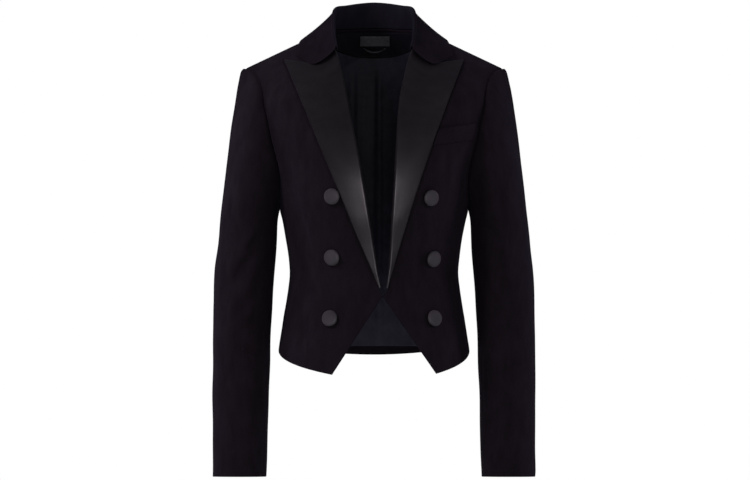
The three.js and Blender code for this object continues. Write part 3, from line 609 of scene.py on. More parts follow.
# Smaller creases, front and back: start x and z, end x and z, bow, height and width
SLEEVE_CREASES = {
    -1: {
        "front": [
            (156, -262, 196, -318, 5, -1.5, 7), (160, -300, 214, -368, -5, -1.3, 8),
            (158, -366, 216, -432, 6, 1.0, 9), (236, -420, 190, -440, 4, -0.9, 8),
            (166, -500, 214, -548, -5, 0.9, 12), (232, -560, 196, -610, 5, 0.8, 13),
            (196, -120, 190, -212, 6, 1.1, 15), (214, -150, 222, -236, -4, -0.8, 13),
            (170, -590, 176, -640, 2, 0.6, 10),
        ],
        "back": [
            (158, -300, 222, -340, 7, 2.0, 11), (160, -338, 226, -366, -6, -1.9, 9),
            (162, -372, 226, -404, 6, 2.2, 11), (164, -408, 222, -424, -5, -1.6, 9),
            (168, -446, 214, -492, 5, 1.3, 12), (218, -520, 182, -580, -5, 1.0, 13),
            (200, -130, 180, -224, 5, 1.4, 14), (176, -246, 206, -286, -4, -1.1, 10),
        ],
    },
    1: {
        "front": [
            (156, -266, 192, -322, -5, -1.3, 8), (162, -330, 204, -396, 5, 1.0, 10),
            (228, -392, 178, -424, -6, 1.1, 10), (232, -424, 186, -462, 5, -1.0, 9),
            (222, -476, 170, -512, -4, -1.2, 8), (220, -548, 184, -566, 4, -1.0, 8),
            (202, -96, 214, -186, 6, 1.0, 15), (188, -150, 184, -226, -4, -0.9, 12),
            (226, -600, 200, -642, 3, 0.7, 12),
        ],
        "back": [
            (156, -296, 220, -332, -6, 1.8, 11), (162, -334, 224, -370, 6, -1.7, 9),
            (160, -380, 222, -398, -6, 2.1, 12), (166, -420, 224, -436, 6, -1.5, 9),
            (166, -470, 218, -504, -5, 1.2, 12), (220, -548, 176, -598, 5, 0.9, 14),
            (206, -136, 188, -220, -5, 1.2, 14),
        ],
    },
}


def sleeve_ring(turn, z):
    at = {column: along(SLEEVE, "z", column, z) for column in ("outer", "inner", "front", "back")}
    x = (at["outer"] + at["inner"]) / 2 + (at["outer"] - at["inner"]) / 2 * np.cos(turn)
    y = (at["front"] + at["back"]) / 2 - (at["back"] - at["front"]) / 2 * np.sin(turn)
    return points(x, y, z)


def main_folds(side, x, z):
    total = np.zeros(np.shape(x))
    for x1, z1, x2, z2, high, wide in MAIN_FOLDS[side]:
        run = np.array([x2 - x1, z2 - z1], float)
        s = np.clip(((x - x1) * run[0] + (z - z1) * run[1]) / (run @ run), 0.1, 0.9)
        total += high * np.exp(-((x - x1 - s * run[0]) ** 2 + (z - z1 - s * run[1]) ** 2) / wide ** 2)
    return total


def sleeve_point(turn, v, side):
    tube = sleeve_ring(turn, lerp(CUFF_Z, BICEPS_Z, np.clip(v / CAP_START, 0, 1)))
    in_tube = smooth(v, 0, 0.05) * smooth(CAP_START - v, 0, 0.05)
    tube[..., 1] -= main_folds(side, tube[..., 0], tube[..., 2]) * np.maximum(np.sin(turn), 0) * in_tube
    t = np.clip((v - CAP_START) / (1 - CAP_START), 0, 1)[..., None]
    sideways, under = np.abs(np.sin(turn)), np.clip(-np.cos(turn), 0, 1)
    down = lerp(0.55 + 0.45 * under, 0.15, sideways)
    away = unit(points(0.85 * (1 - 0.75 * under ** 2), -0.45 * np.sin(turn), -down))
    start = sleeve_ring(turn, np.full(np.shape(turn), float(BICEPS_Z)))
    end = armhole(turn) + away * (SEAM + 0.2)
    climb = (start - sleeve_ring(turn, np.full(np.shape(turn), BICEPS_Z - 20.0))) / 20
    lead = start + climb * np.maximum(0.5 * (end[..., 2] - start[..., 2]), 6)[..., None]
    room = lerp(np.where(np.cos(turn) < 0, UNDER_ROOM, HEAD_ROOM), SIDE_ROOM, sideways)
    trail = end + away * room[..., None]
    cap = (1 - t) ** 3 * start + 3 * (1 - t) ** 2 * t * lead + 3 * (1 - t) * t ** 2 * trail + t ** 3 * end
    return np.where((v <= CAP_START)[..., None], tube, cap)


SLEEVE_ROWS = np.unique(np.concatenate([
    np.linspace(0, CAP_START, 128), np.linspace(CAP_START, 1, 58),
    [0.0004, 0.0012, 0.0024, 0.992, 0.996, 0.9985],
]))
SLEEVE_CUTS = {"top_sleeve": (17, (0.235, 0.615), 0.118), "under_sleeve": (7, (0.10, 0.50), 0.04)}
for name, front in FRONTS.items():
    side = front["side"]
    for part, (steps, flat, area) in SLEEVE_CUTS.items():
        first = BACK_SEAM_STEP - ARM_STEPS if part == "top_sleeve" else FRONT_SEAM_STEP
        u, v = np.meshgrid(spaced(steps * 11, 2.3, SLEEVE_CLOTH), SLEEVE_ROWS)
        turn = np.radians(360 / ARM_STEPS) * (first + steps * u)
        grid = sleeve_point(turn, v, side)
        x, z = grid[..., 0], grid[..., 2]
        ahead, behind = np.clip(np.sin(turn), 0, 1) ** 0.6, np.clip(-np.sin(turn), 0, 1) ** 0.6
        outer, inner = np.clip(np.cos(turn), 0, 1), np.clip(-np.cos(turn), 0, 1)
        relief = creases(SLEEVE_CREASES[side]["front"], x, z, SLEEVE_CREASE_STRENGTH) * ahead
        relief += creases(SLEEVE_CREASES[side]["back"], x, z) * behind
        relief += unevenness(x + 90 * turn, z, 40 + side, 0.4)
        relief += SLEEVE_HEAD_FULLNESS * np.exp(-((v - 0.955) / 0.03) ** 2) * outer ** 2
        relief -= SLEEVE_HOLLOW * np.exp(-((z + 140) / 60) ** 2) * outer
        relief += UNDERARM_FULLNESS * np.exp(-((z - SIDE_FULLNESS_Z) / 12) ** 2) * inner
        at_cap = SEAM_DEPTH * smooth(np.cos(turn), -0.95, -0.4)
        grid[..., 2] += SLEEVE_HEAD_LIFT * np.exp(-((v - 0.975) / 0.022) ** 2) * outer ** 2
        grid = creased(grid, -1, relief, (0, at_cap, FLAT_SEAM_DEPTH, FLAT_SEAM_DEPTH)) * (side, 1, 1)
        lined = z > CUFF_Z + SLEEVE_HEM
        piece = shell(f"{part}_cloth_{name}", grid, SLEEVE_CLOTH, -side, VELVET, (LINING, False, lined),
                      (0, CAP_UNDERLAP, SEAM_UNDERLAP, SEAM_UNDERLAP))
        stand_for(piece, "velvet", f"{part}_{name}")


# The neck facing inside the back, a crescent of the same velvet, painted bluer and a little lighter as
# painted light inside the neck.
# Its lower edge covers the top of the lining, and it carries the label and the hanging loop.
FACING_CLOTH = 1
FACING_HALF = 66
FACING_LOW_Z = -21
FACING_RISE = 16
LINING_EASE = 2.4


def inside_back(x, z, depth):
    inwards = torso_normal(x, z, np.full(np.shape(x), 1)) * np.asarray(depth, float)[..., None]
    return points(x, torso_y(x, z, 1), z) - inwards


def facing_low(x):
    return FACING_LOW_Z + FACING_RISE * (x / FACING_HALF) ** 2


u, v = np.meshgrid(spaced(132, 1.6, 1), spaced(38, 1.6, 1))
x = lerp(-FACING_HALF, FACING_HALF, u)
z = lerp(facing_low(x), lerp(BACK_NECK_Z, NECK_POINT_Z, (x / NECK_HALF) ** 2) - 2, v)
grid = inside_back(x, z, np.full(x.shape, BODY_CLOTH + LINING_EASE))
# Painted light: the facing's velvet is tinted bluer and a little lighter than the body velvet, standing in
# for the cool light inside the neck.
facing_velvet_painted_light = velvet_finish("facing_velvet_painted_light", (0.0072, 0.0062, 0.01), (0.01, 0.009, 0.0138), 0.02)
facing = shell("facing_cloth", grid, FACING_CLOTH, -1, facing_velvet_painted_light)
stand_for(facing, "velvet", "back_neck_facing")


# The back lining, thin satin cut wider than the back. Its ease falls in soft upright folds from
# the facing, and it ends a finger above the velvet hem.
LINING_CLOTH = 1
LINING_HEM_Z = -456
LINING_SHARE = 0.9
LINING_SHOULDER_DROP = 28
# Ease folds of the lining: x at the top, x at the hem, height and width
LINING_FOLDS = [(8, 8, 3.2, 5), (-33, -33, 2.6, 7), (44, 44, 2.4, 8), (-72, -72, 2, 9), (86, 86, 1.8, 10)]
FINE_FOLDS = [
    (2, -6, -0.9, 3), (16, 22, 0.8, 3.5), (-14, -20, 0.9, 4), (-24, -30, -0.7, 3), (30, 26, 0.8, 4),
    (-48, -52, 0.7, 4), (60, 66, 0.6, 5), (-90, -84, 0.6, 6), (100, 104, 0.5, 6),
]


def lining_grid(u, v):
    level = np.minimum(lerp(LINING_HEM_Z, SHOULDER_Z, v), ARMPIT_Z)
    x = LINING_SHARE * along(TORSO, "z", "wide", level) * np.sin((2 * u - 1) * math.pi / 2)
    high = np.minimum(facing_low(x) - 5 * SEAM, shoulder_top(x) - LINING_SHOULDER_DROP)
    z = lerp(LINING_HEM_Z, high, v)
    slack = smooth(v, 0, 0.12) * smooth(1 - v, 0, 0.12)
    wave = sum(tall * np.exp(-((x - lerp(low, top, v)) / wide) ** 2) for top, low, tall, wide in LINING_FOLDS)
    fine = sum(tall * np.exp(-((x - lerp(low, top, v)) / wide) ** 2) for top, low, tall, wide in FINE_FOLDS)
    drag = 0.35 * np.sin(z / 19 + x / 31) * np.sin(z / 47 + 1)
    return inside_back(x, z, BODY_CLOTH + LINING_EASE + (wave + fine + drag) * slack)


u, v = np.meshgrid(spaced(330, 2.2, 1), spaced(430, 3.4, 1))
lining = shell("lining_cloth", lining_grid(u, v), LINING_CLOTH, -1, LINING)
stand_for(lining, "lining", "back_lining")


# The label, a bare strip of woven ribbon, sewn to the facing with small stitches near its edge.
# The stitches follow a line, so one node tree sets them out at an even pitch.
LABEL = {"left": -22.5, "right": 25.5, "low": -1.5, "high": 13.5, "cloth": 0.6}


def label_point(u, v, lift=0):
    x, z = lerp(LABEL["left"], LABEL["right"], u), lerp(LABEL["low"], LABEL["high"], v)
    return inside_back(x, z, np.full(np.shape(x), BODY_CLOTH + LINING_EASE + FACING_CLOTH + 2 * SEAM + lift))


def ribbon_finish():
    material, nodes, links, shader = finish_nodes("label_ribbon")
    cut = nodes.new("ShaderNodeTexCoord").outputs["UV"]
    rib = nodes.new("ShaderNodeTexWave")
    rib.bands_direction = "Y"
    rib.inputs["Scale"].default_value = 700
    links.new(cut, rib.inputs["Vector"])
    cloud = noise(nodes, links, cut, 160, 3)
    greys = tones(nodes, links, cloud, (0.05, 0.049, 0.056), (0.075, 0.074, 0.083))
    links.new(greys, shader.inputs["Base Color"])
    shader.inputs["Roughness"].default_value = 0.5
    shader.inputs["Specular IOR Level"].default_value = 0.35
    bumps(nodes, links, shader, [(cloud, 0.15, 0.0003), (rib.outputs["Fac"], 0.4, 0.0001)])
    return material


def thread_finish(name, colour):
    material, nodes, links, shader = finish_nodes(name)
    place = nodes.new("ShaderNodeTexCoord").outputs["Object"]
    ply = noise(nodes, links, place, 2600, 2)
    dark = tuple(0.6 * value for value in colour)
    links.new(tones(nodes, links, ply, dark, colour), shader.inputs["Base Color"])
    shader.inputs["Roughness"].default_value = 0.55
    bumps(nodes, links, shader, [(ply, 0.4, 0.0001)])
    return material


def stitch_tree():
    tree = bpy.data.node_groups.new("stitch_row", "GeometryNodeTree")
    tree.interface.new_socket("Geometry", in_out="INPUT", socket_type="NodeSocketGeometry")
    for label in ("Pitch", "Stitch Length", "Thread"):
        tree.interface.new_socket(label, in_out="INPUT", socket_type="NodeSocketFloat")
    tree.interface.new_socket("Material", in_out="INPUT", socket_type="NodeSocketMaterial")
    tree.interface.new_socket("Geometry", in_out="OUTPUT", socket_type="NodeSocketGeometry")
    new, link = tree.nodes.new, tree.links.new
    given, result = new("NodeGroupInput"), new("NodeGroupOutput")
    line, resample = new("GeometryNodeMeshToCurve"), new("GeometryNodeResampleCurve")
    resample.mode = "LENGTH"
    bead, sized = new("GeometryNodeMeshUVSphere"), new("GeometryNodeTransform")
    for label, value in {"Segments": 6, "Rings": 5, "Radius": 0.5}.items():
        bead.inputs[label].default_value = value
    size = new("ShaderNodeCombineXYZ")
    tangent, turned = new("GeometryNodeInputTangent"), new("FunctionNodeAlignRotationToVector")
    turned.axis = "X"
    spread, joined = new("GeometryNodeInstanceOnPoints"), new("GeometryNodeRealizeInstances")
    dyed = new("GeometryNodeSetMaterial")
    link(given.outputs["Geometry"], line.inputs["Mesh"])
    link(line.outputs["Curve"], resample.inputs["Curve"])
    link(given.outputs["Pitch"], resample.inputs["Length"])
    link(given.outputs["Stitch Length"], size.inputs["X"])
    link(given.outputs["Thread"], size.inputs["Y"])
    link(given.outputs["Thread"], size.inputs["Z"])
    link(bead.outputs["Mesh"], sized.inputs["Geometry"])
    link(size.outputs["Vector"], sized.inputs["Scale"])
    link(tangent.outputs["Tangent"], turned.inputs["Vector"])
    link(resample.outputs["Curve"], spread.inputs["Points"])
    link(sized.outputs["Geometry"], spread.inputs["Instance"])
    link(turned.outputs["Rotation"], spread.inputs["Rotation"])
    link(spread.outputs["Instances"], joined.inputs["Geometry"])
    link(joined.outputs["Geometry"], dyed.inputs["Geometry"])
    link(given.outputs["Material"], dyed.inputs["Material"])
    link(dyed.outputs["Geometry"], result.inputs["Geometry"])
    return tree


STITCHES = stitch_tree()


def stitch_row(name, lines, pitch, length, thread, material):
    vertices, edges = [], []
    for line in lines:
        start = len(vertices)
        vertices += (np.asarray(line) / 1000).tolist()
        edges += [(start + k, start + k + 1) for k in range(len(line) - 1)]
    mesh = bpy.data.meshes.new(name)
    mesh.from_pydata(vertices, edges, [])
    piece = bpy.data.objects.new(name, mesh)
    bpy.context.scene.collection.objects.link(piece)
    modifier = piece.modifiers.new("stitches", "NODES")
    modifier.node_group = STITCHES
    values = {"Pitch": pitch, "Stitch Length": length, "Thread": thread, "Material": material}
    for item in STITCHES.interface.items_tree:
        if item.item_type == "SOCKET" and item.in_out == "INPUT" and item.name in values:
            modifier[item.identifier] = values[item.name]
    made = bpy.data.meshes.new_from_object(piece.evaluated_get(bpy.context.evaluated_depsgraph_get()))
    piece.modifiers.clear()
    piece.data = made
    made.shade_smooth()
    return piece


RIBBON = ribbon_finish()
GREY_THREAD = thread_finish("label_thread", (0.05, 0.05, 0.055))
u, v = np.meshgrid(spaced(48, 1, 0.6), spaced(15, 1, 0.6))
label = shell("label_ribbon", label_point(u, v), LABEL["cloth"], -1, RIBBON)
stand_for(label, "label", "label")
even, inset = np.linspace(0, 1, 40), 0.035
proud = LABEL["cloth"] + 0.1
rows = [label_point(lerp(0.02, 0.98, even), np.full(40, level), proud) for level in (0.08, 0.92)]
rows += [label_point(np.full(40, end), lerp(0.12, 0.88, even), proud) for end in (inset, 1 - inset)]
label_stitches = stitch_row("label_stitches", rows, 0.0019, 0.0014, 0.0004, GREY_THREAD)
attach(label_stitches, "root")


# The felling stitches that hold the facing's lower edge down on the lining, by hand, in black.
BLACK_THREAD = thread_finish("black_thread", (0.012, 0.012, 0.015))
x = np.linspace(-FACING_HALF + 4, FACING_HALF - 4, 60)
edge = inside_back(x, facing_low(x) + 1.1, np.full(x.shape, BODY_CLOTH + LINING_EASE + FACING_CLOTH + 0.1))
felling = stitch_row("facing_stitches", [edge], 0.0034, 0.0019, 0.00045, BLACK_THREAD)
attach(felling, "root")


# The hanging loop, a short satin cord under the label. Its two ends are caught in the facing
# and held by a few turns of thread.
LOOP = {"left": -17, "right": 18.5, "top": -4, "sag": 6, "swing": 1.5, "cord": 1.1}


def tube(name, line, radius, sides, material):
    line = np.asarray(line, float)
    ahead = unit(np.gradient(line, axis=0))
    side_way = unit(np.cross(ahead, (0, 1, 0)))
    up_way = np.cross(side_way, ahead)
    turn = np.linspace(0, 2 * math.pi, sides, endpoint=False)
    ends = np.ones(len(line))
    ends[[0, -1]] = 0.55
    ring = np.cos(turn)[None, :, None] * side_way[:, None] + np.sin(turn)[None, :, None] * up_way[:, None]
    body = (line[:, None] + ring * (radius * ends)[:, None, None]).reshape(-1, 3)
    vertices = np.concatenate([body, line[[0, -1]]]) / 1000
    faces = []
    for i in range(len(line) - 1):
        for j in range(sides):
            k = (j + 1) % sides
            faces.append((i * sides + j, i * sides + k, (i + 1) * sides + k, (i + 1) * sides + j))
    first, last = len(body), len(body) + 1
    for j in range(sides):
        k = (j + 1) % sides
        faces.append((first, k, j))
        faces.append((last, (len(line) - 1) * sides + j, (len(line) - 1) * sides + k))
    mesh = bpy.data.meshes.new(name)
    mesh.from_pydata(vertices.tolist(), [], faces)
    mesh.materials.append(material)
    mesh.shade_smooth()
    piece = bpy.data.objects.new(name, mesh)
    bpy.context.scene.collection.objects.link(piece)
    return piece


def satin_finish(name, low, high, rough, weave):
    material, nodes, links, shader = finish_nodes(name)
    source = nodes.new("ShaderNodeTexCoord")
    cut = source.outputs["UV"] if weave else source.outputs["Object"]
    cloud = noise(nodes, links, cut, 70, 4)
    slub = nodes.new("ShaderNodeMapping")
    slub.inputs["Scale"].default_value = (1, 0.06, 1)
    links.new(cut, slub.inputs["Vector"])
    floats = noise(nodes, links, slub.outputs["Vector"], 2400, 2)
    links.new(tones(nodes, links, cloud, low, high), shader.inputs["Base Color"])
    shader.inputs["Roughness"].default_value = rough
    shader.inputs["Specular IOR Level"].default_value = 0.3
    shader.inputs["Anisotropic"].default_value = 0.35
    shader.inputs["Sheen Weight"].default_value = 0.03
    shader.inputs["Sheen Roughness"].default_value = 0.3
    bumps(nodes, links, shader, [(cloud, 0.12, 0.0008), (floats, 0.3, 0.00012)])
    return material


CORD_SATIN = satin_finish("loop_satin", (0.008, 0.009, 0.012), (0.014, 0.015, 0.019), 0.45, False)
share = np.linspace(0, 1, 33)
hang = 4 * share * (1 - share)
off = BODY_CLOTH + LINING_EASE + FACING_CLOTH + 2 * SEAM + LOOP["cord"]
across, low = lerp(LOOP["left"], LOOP["right"], share), LOOP["top"] - LOOP["sag"] * hang
line = inside_back(across, low, off + LOOP["swing"] * hang)
loop = tube("loop_cord", line, LOOP["cord"], 10, CORD_SATIN)
stand_for(loop, "satin", "hanging_loop")


# The peak lapels, silk satin over the front edge. Each rolls over the fold line and lies flat
# as far as its pressed outer edge, and its peak meets the collar at the notch.
LAPEL_CLOTH = 2.2
GORGE_Z = -12
NOTCH_SHARE = 0.325
NOTCH_DROP = 18
ROLL_RADIUS = 3.6
ROLL_LIFT = 0.6
EDGE_LIFT = 0.8
ROLL_SHARE = 0.4
LAPEL_TIP = -0.033


def lapel_row(front, v):
    roll_z, edge_z = lerp(LAPEL_FOOT_Z, GORGE_Z - SEAM, v), lerp(LAPEL_FOOT_Z, PEAK_Z - SEAM, v)
    roll_x, edge_x = along(front["roll"], "z", "x", roll_z), lapel_edge_x(front, v)
    return roll_x, roll_z, edge_x, edge_z, np.hypot(edge_x - roll_x, edge_z - roll_z)


def lapel_point(front, u, v):
    roll_x, roll_z, edge_x, edge_z, wide = lapel_row(front, v)
    radius = np.minimum(ROLL_RADIUS, wide * 0.42)
    swing = np.radians(lerp(-30, 90, np.clip(u / ROLL_SHARE, 0, 1)))
    flat = np.clip((u - ROLL_SHARE) / (1 - ROLL_SHARE), 0, 1)
    cloth = np.minimum(LAPEL_CLOTH, radius * 0.6)
    rolled = u < ROLL_SHARE
    across = np.where(rolled, radius * (1 - np.cos(swing)), lerp(radius, wide, flat))
    lying = lerp(ROLL_LIFT + radius, EDGE_LIFT + cloth, flat)
    lift = np.where(rolled, ROLL_LIFT + radius * np.sin(swing), lying)
    share = across / wide
    tent = np.where(share < NOTCH_SHARE, share / NOTCH_SHARE, (1 - share) / (1 - NOTCH_SHARE))
    notch = NOTCH_DROP * tent * smooth(v, 0.7, 1) ** 2
    x, z = lerp(roll_x, edge_x, share), lerp(roll_z, edge_z, share) - notch
    off = torso_normal(x, z, np.full(np.shape(x), -1)) * lift[..., None]
    return points(x, torso_y(x, z, -1), z) + off, cloth


SATIN = satin_finish("lapel_satin", (0.0062, 0.0046, 0.0066), (0.0095, 0.0074, 0.01), 0.4, True)
for name, front in FRONTS.items():
    columns = np.concatenate([[0, 0.01, 0.03], np.linspace(0.06, ROLL_SHARE, 14),
                              np.linspace(ROLL_SHARE, 0.985, 34)[1:], [0.992, 0.997, 1]])
    rows = np.concatenate([LAPEL_TIP + np.array([0, 0.0015, 0.004]),
                           np.linspace(LAPEL_TIP + 0.008, 0.985, 124), [0.99, 0.994, 0.997, 0.9985, 1]])
    u, v = np.meshgrid(columns, rows)
    grid, cloth = lapel_point(front, u, v)
    soft = smooth(u, ROLL_SHARE, 0.6) * unevenness(grid[..., 0], grid[..., 2], 61 + front["side"], 0.16)
    side = front["side"]
    grid = creased(grid, 1, soft) * (side, 1, 1)
    piece = shell("lapel_satin_" + name, grid, cloth, side, SATIN, (VELVET, False, True))
    stand_for(piece, "satin", "lapel_" + name)


# The collar, velvet over an undercollar, its velvet painted darker than the body's as painted shade. Its
# stand rises from the neck seam, folds over in a soft roll, and its fall lies round the neck to a pressed
# edge over the seam.
COLLAR_CLOTH = 1.6
COLLAR_END_CLOTH = 1
COLLAR_END_SIZE = 0.85
COLLAR_LIFT = 1
COLLAR_NOTCH = 16
FOLD_RADIUS = 3.2
NECK_TURN_SHARE = 0.45
COLLAR_FOLD = {
    "share": [-0.25, 0, 0.25, 0.5, 0.75, 1],
    "x": [-41, 0, 41, 59, 60.5, 56.5],
    "y": [42, 60, 42, 4, -32, -65],
    "z": [55.5, 60, 55.5, 49.5, 19, -7],
}
COLLAR_EDGE = {
    "share": [-0.25, 0, 0.25, 0.5, 0.75, 1],
    "x": [-64, 0, 64, 102, 114, 117],
    "z": [-4, -7, -4, 3, -9, -22.5],
}


def curve_through(knots, t):
    count = len(knots)
    at = t * (count - 1)
    first = np.minimum(np.floor(at).astype(int), count - 2)
    weight = (at - first)[..., None]
    padded = np.concatenate([2 * knots[:1] - knots[1:2], knots, 2 * knots[-1:] - knots[-2:-1]])
    pick = [np.take_along_axis(padded, (first + k)[None, ..., None], axis=0)[0] for k in range(4)]
    steps = [b - a for a, b in zip(pick, pick[1:])]
    gaps = [np.maximum(np.linalg.norm(step, axis=-1, keepdims=True) ** 0.5, 1e-2) for step in steps]
    leave = steps[0] / gaps[0] - (pick[2] - pick[0]) / (gaps[0] + gaps[1]) + steps[1] / gaps[1]
    reach = steps[1] / gaps[1] - (pick[3] - pick[1]) / (gaps[1] + gaps[2]) + steps[2] / gaps[2]
    leave, reach = leave * gaps[1], reach * gaps[1]
    a = 2 * pick[1] - 2 * pick[2] + leave + reach
    b = 3 * pick[2] - 3 * pick[1] - 2 * leave - reach
    return pick[1] + weight * (leave + weight * (b + weight * a))


def collar_grid(u, v):
    share = np.abs(u - 0.5) * 2
    fold = points(*(along(COLLAR_FOLD, "share", column, share) for column in "xyz"))
    edge_x, edge_z = along(COLLAR_EDGE, "share", "x", share), along(COLLAR_EDGE, "share", "z", share)
    face = np.where(share < 0.5, 1, -1)
    on_seam = (1 - smooth(np.abs(share - 0.5), 0, 0.22))[..., None]
    seam_up = unit(np.array([SHOULDER_SLOPE, 0, 1.0]))
    up = unit(lerp(torso_normal(edge_x, edge_z, face), seam_up, on_seam))
    edge = points(edge_x, torso_y(edge_x, edge_z, face), edge_z) + up * (LAPEL_CLOTH + COLLAR_LIFT)
    behind = share < NECK_TURN_SHARE
    back_x = NECK_HALF * np.sin(np.clip(share / NECK_TURN_SHARE, 0, 1) * math.pi / 2)
    back_z = lerp(BACK_NECK_Z, NECK_POINT_Z, (back_x / NECK_HALF) ** 2)
    fore_z = lerp(NECK_POINT_Z, GORGE_Z, np.clip((share - NECK_TURN_SHARE) / (1 - NECK_TURN_SHARE), 0, 1))
    fore_x = along(FRONTS["right"]["roll"], "z", "x", fore_z)
    neck_back = points(back_x, torso_y(back_x, back_z, 1), back_z + 2 * SEAM)
    neck_fore = points(fore_x - 1, torso_y(fore_x, fore_z, -1), fore_z + 6 * SEAM)
    neck = np.where(behind[..., None], neck_back, neck_fore)
    outwards = unit((edge - fold) * (1, 1, 0))
    size = lerp(1, COLLAR_END_SIZE, smooth(share, 0.6, 1))[..., None]

    def moved(start, out, rise, scale):
        return start + (outwards * out + np.array([0, 0, rise])) * scale

    swing = math.sqrt(0.5)
    stand = moved(fold, -3.5, -5, size)
    inside_roll = moved(fold, -swing, swing - 1, FOLD_RADIUS * size)
    outside_roll = moved(fold, swing, swing - 1, FOLD_RADIUS * size)
    fall = moved(fold, 3.5, -5, size)
    middle = moved((fall + edge) / 2, -0.8, -0.8, 1)
    notch = COLLAR_NOTCH * smooth(share, 0.75, 1) ** 2
    middle = middle + points(0, -notch, -notch)
    knots = np.stack([neck, stand, inside_roll, fold, outside_roll, fall, middle, edge])
    return curve_through(knots, v) * points(np.where(u < 0.5, -1, 1), 1, 1), share


# Painted shade: the collar's velvet is the body velvet painted about seven tenths as light.
COLLAR_SHADED_VELVET = velvet_finish("collar_velvet_painted_shade", (0.0052, 0.0035, 0.0056), (0.0078, 0.0054, 0.0084), 0.03)
columns = np.concatenate([[0, 0.0004, 0.0012, 0.0025], np.linspace(0.005, 0.995, 210),
                          [0.9975, 0.9988, 0.9996, 1]])
rows = np.unique(np.concatenate([[0, 0.002, 0.005], np.linspace(0.01, 1 / 7, 12),
                                 np.linspace(1 / 7, 5 / 7, 30), np.linspace(5 / 7, 0.99, 26),
                                 [0.994, 0.997, 0.999, 1]]))
u, v = np.meshgrid(columns, rows)
grid, share = collar_grid(u, v)
rolled = np.abs(v - 3 / 7) < 1.2 / 7
wave = unevenness(grid[..., 0] + 60, grid[..., 2] + grid[..., 1], 71, 0.22) * np.where(rolled, 0.3, 1)
grid = creased(grid, 1, wave)
collar_cloth = lerp(COLLAR_CLOTH, COLLAR_END_CLOTH, smooth(share, 0.5, 0.95))
in_stand = v < 3 / 7
# Outside, the collar wears its darker velvet (painted shade); inside the stand, the facing's velvet with its
# painted light.
collar = shell("collar_cloth", grid, collar_cloth, 1, COLLAR_SHADED_VELVET, (facing_velvet_painted_light, in_stand, False))
stand_for(collar, "velvet", "collar")


# The six buttons, each a dome mould covered in the lapels' satin, here painted about four times lighter as
# painted light. The cloth is drawn over the rim in fine tucks and gathered underneath, and a shank holds the
# button just off the front.
BUTTON_RADIUS = 12.2
BUTTON_RISE = 5.4
BUTTONS = [
    ("button_right_top", -1, -62.4, -231.8),
    ("button_right_middle", -1, -62.4, -323),
    ("button_right_bottom", -1, -65.7, -414.3),
    ("button_left_top", 1, 84.9, -234),
    ("button_left_middle", 1, 88.4, -325.2),
    ("button_left_bottom", 1, 89.7, -414.3),
]
# Button profile: radius and height as shares of the full ones
BUTTON_PROFILE = [
    (0, 0), (0.6, 0), (0.86, 0.02), (0.95, 0.1), (0.99, 0.24), (1, 0.36), (0.985, 0.5), (0.95, 0.63),
    (0.9, 0.73), (0.83, 0.81), (0.74, 0.87), (0.6, 0.925), (0.42, 0.965), (0.22, 0.99), (0, 1),
]
# Painted light: the buttons' satin is painted about four times lighter than the lapels' satin, standing in
# for the light the domes catch.
BUTTON_SATIN_PAINTED_LIGHT = satin_finish("button_satin_painted_light", (0.027, 0.022, 0.028), (0.036, 0.03, 0.037), 0.6, False)


def button_mesh(name, centre, normal, seed):
    chance = np.random.default_rng(seed)
    sides, tucks = 72, 26
    turn = np.linspace(0, 2 * math.pi, sides, endpoint=False)
    right = unit(np.cross((0, 0, 1), normal))
    high = np.cross(normal, right)
    phase = chance.uniform(0, 6)
    vertices, faces = [centre], []
    for share, rise in BUTTON_PROFILE[1:-1]:
        tuck = 0.09 * math.exp(-((rise - 0.15) / 0.22) ** 2) * np.sin(tucks * turn + phase + np.sin(3 * turn))
        radius = BUTTON_RADIUS * share + tuck
        spokes = np.cos(turn)[:, None] * right + np.sin(turn)[:, None] * high
        vertices.extend(centre + normal * (BUTTON_RISE * rise) + radius[:, None] * spokes)
    vertices.append(centre + normal * BUTTON_RISE)
    rings = len(BUTTON_PROFILE) - 2
    for j in range(sides):
        k = (j + 1) % sides
        faces.append((0, 1 + k, 1 + j))
        for i in range(rings - 1):
            a, b = 1 + i * sides, 1 + (i + 1) * sides
            faces.append((a + j, a + k, b + k, b + j))
        faces.append((1 + (rings - 1) * sides + j, 1 + (rings - 1) * sides + k, len(vertices) - 1))
    mesh = bpy.data.meshes.new(name)
    mesh.from_pydata((np.asarray(vertices) / 1000).tolist(), [], faces)
    mesh.materials.append(BUTTON_SATIN_PAINTED_LIGHT)
    mesh.shade_smooth()
    piece = bpy.data.objects.new(name, mesh)
    bpy.context.scene.collection.objects.link(piece)
    return piece


for seed, (node, side, x, z) in enumerate(BUTTONS):
    face = np.array(-1)
    normal = torso_normal(np.array(x * side), np.array(z), face) * (side, 1, 1)
    centre = points(np.array(x), torso_y(np.array(x), np.array(z), face), np.array(z))
    turn = np.linspace(0, 2 * math.pi, 9)
    rim_x, rim_z = x + BUTTON_RADIUS * np.cos(turn), z + BUTTON_RADIUS * np.sin(turn)
    rim = points(rim_x, torso_y(rim_x, rim_z, np.full(rim_x.shape, -1)), rim_z)
    swell = max(0, ((rim - centre) @ normal).max())
    piece = button_mesh("covered_" + node, centre + normal * (1.5 * SEAM + swell), normal, seed)
    stand_for(piece, "satin", node)


# The studio: a plain pale floor under the jacket, white surroundings, three broad soft lights in
# front, a lower one that lifts the lapels, and a tall soft light on each side for the nap's edge.
FLOOR_Z = -1.4
FLOOR_RADIUS = 14
bpy.ops.mesh.primitive_circle_add(vertices=96, radius=FLOOR_RADIUS, fill_type="NGON")
floor = bpy.context.object
floor.location.z = FLOOR_Z
floor.name = "floor"
material, nodes, links, shader = finish_nodes("pale_floor")
shader.inputs["Base Color"].default_value = (0.82, 0.82, 0.82, 1)
shader.inputs["Roughness"].default_value = 0.9
floor.data.materials.append(material)

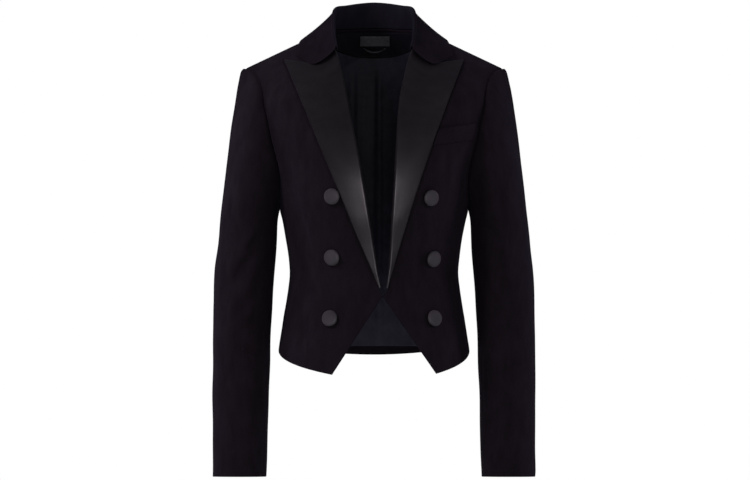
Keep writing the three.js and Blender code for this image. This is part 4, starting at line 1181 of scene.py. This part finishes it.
scene = bpy.context.scene
world = bpy.data.worlds.new("studio")
scene.world = world
world.use_nodes = True
nodes, links = world.node_tree.nodes, world.node_tree.links
backdrop = nodes["Background"]
backdrop.inputs["Color"].default_value = (1, 1, 1, 1)
backdrop.inputs["Strength"].default_value = 1.0
ambient = nodes.new("ShaderNodeBackground")
ambient.inputs["Color"].default_value = (0.93, 0.95, 1, 1)
ambient.inputs["Strength"].default_value = 0.12
seen, mixed = nodes.new("ShaderNodeLightPath"), nodes.new("ShaderNodeMixShader")
links.new(seen.outputs["Is Camera Ray"], mixed.inputs["Fac"])
links.new(ambient.outputs["Background"], mixed.inputs[1])
links.new(backdrop.outputs["Background"], mixed.inputs[2])
links.new(mixed.outputs["Shader"], nodes["World Output"].inputs["Surface"])


LIT_HEIGHT = -0.25


def soft_light(name, azimuth, elevation, distance, size, power, colour=(1, 1, 1)):
    data = bpy.data.lights.new(name, "AREA")
    data.shape, data.size, data.size_y = "RECTANGLE", size[0], size[1]
    data.energy, data.color = power, colour
    light = bpy.data.objects.new(name, data)
    bpy.context.scene.collection.objects.link(light)
    turn, rise = math.radians(azimuth), math.radians(elevation)
    away = Vector((math.sin(turn) * math.cos(rise), -math.cos(turn) * math.cos(rise), math.sin(rise)))
    light.location = Vector((0, 0, LIT_HEIGHT)) + distance * away
    light.rotation_mode = "QUATERNION"
    light.rotation_quaternion = away.to_track_quat("Z", "Y")
    return light


key = soft_light("key", -62, 40, 2.0, (0.7, 0.7), 26)
fill = soft_light("fill", 48, 30, 2.6, (1.3, 1.3), 15)
low = soft_light("low", 4, -7, 3.4, (0.8, 0.9), 68, (1, 0.91, 1))
front_light = soft_light("front", -24, 12, 3, (0.4, 0.4), 7)
rim_right = soft_light("rim_right", -96, 6, 2.4, (0.5, 1.8), 27, (0.92, 0.93, 1))
rim_left = soft_light("rim_left", 96, 6, 2.4, (0.5, 1.8), 30, (0.88, 0.9, 1))
for light in (key, fill, front_light, rim_right, rim_left):
    light.visible_glossy = False
low.visible_diffuse = False

scene.view_settings.view_transform = "Standard"

# The camera, far off and level with the middle of the jacket, as in the photograph. One pixel
# of the 750 by 480 frame is 1.5 mm at the jacket's middle.
CAMERA_DISTANCE = 30
CAMERA_HEIGHT = -0.297
CAMERA_ASIDE = 0.0015
FRAME_WIDE = 750 * 0.0015
SENSOR = 36
data = bpy.data.cameras.new("camera")
data.sensor_width = SENSOR
data.lens = SENSOR * CAMERA_DISTANCE / FRAME_WIDE
data.clip_end = 300
camera = bpy.data.objects.new("camera", data)
scene.collection.objects.link(camera)
camera.location = (CAMERA_ASIDE, -CAMERA_DISTANCE, CAMERA_HEIGHT)
camera.rotation_euler = (math.pi / 2, 0, 0)
scene.camera = camera
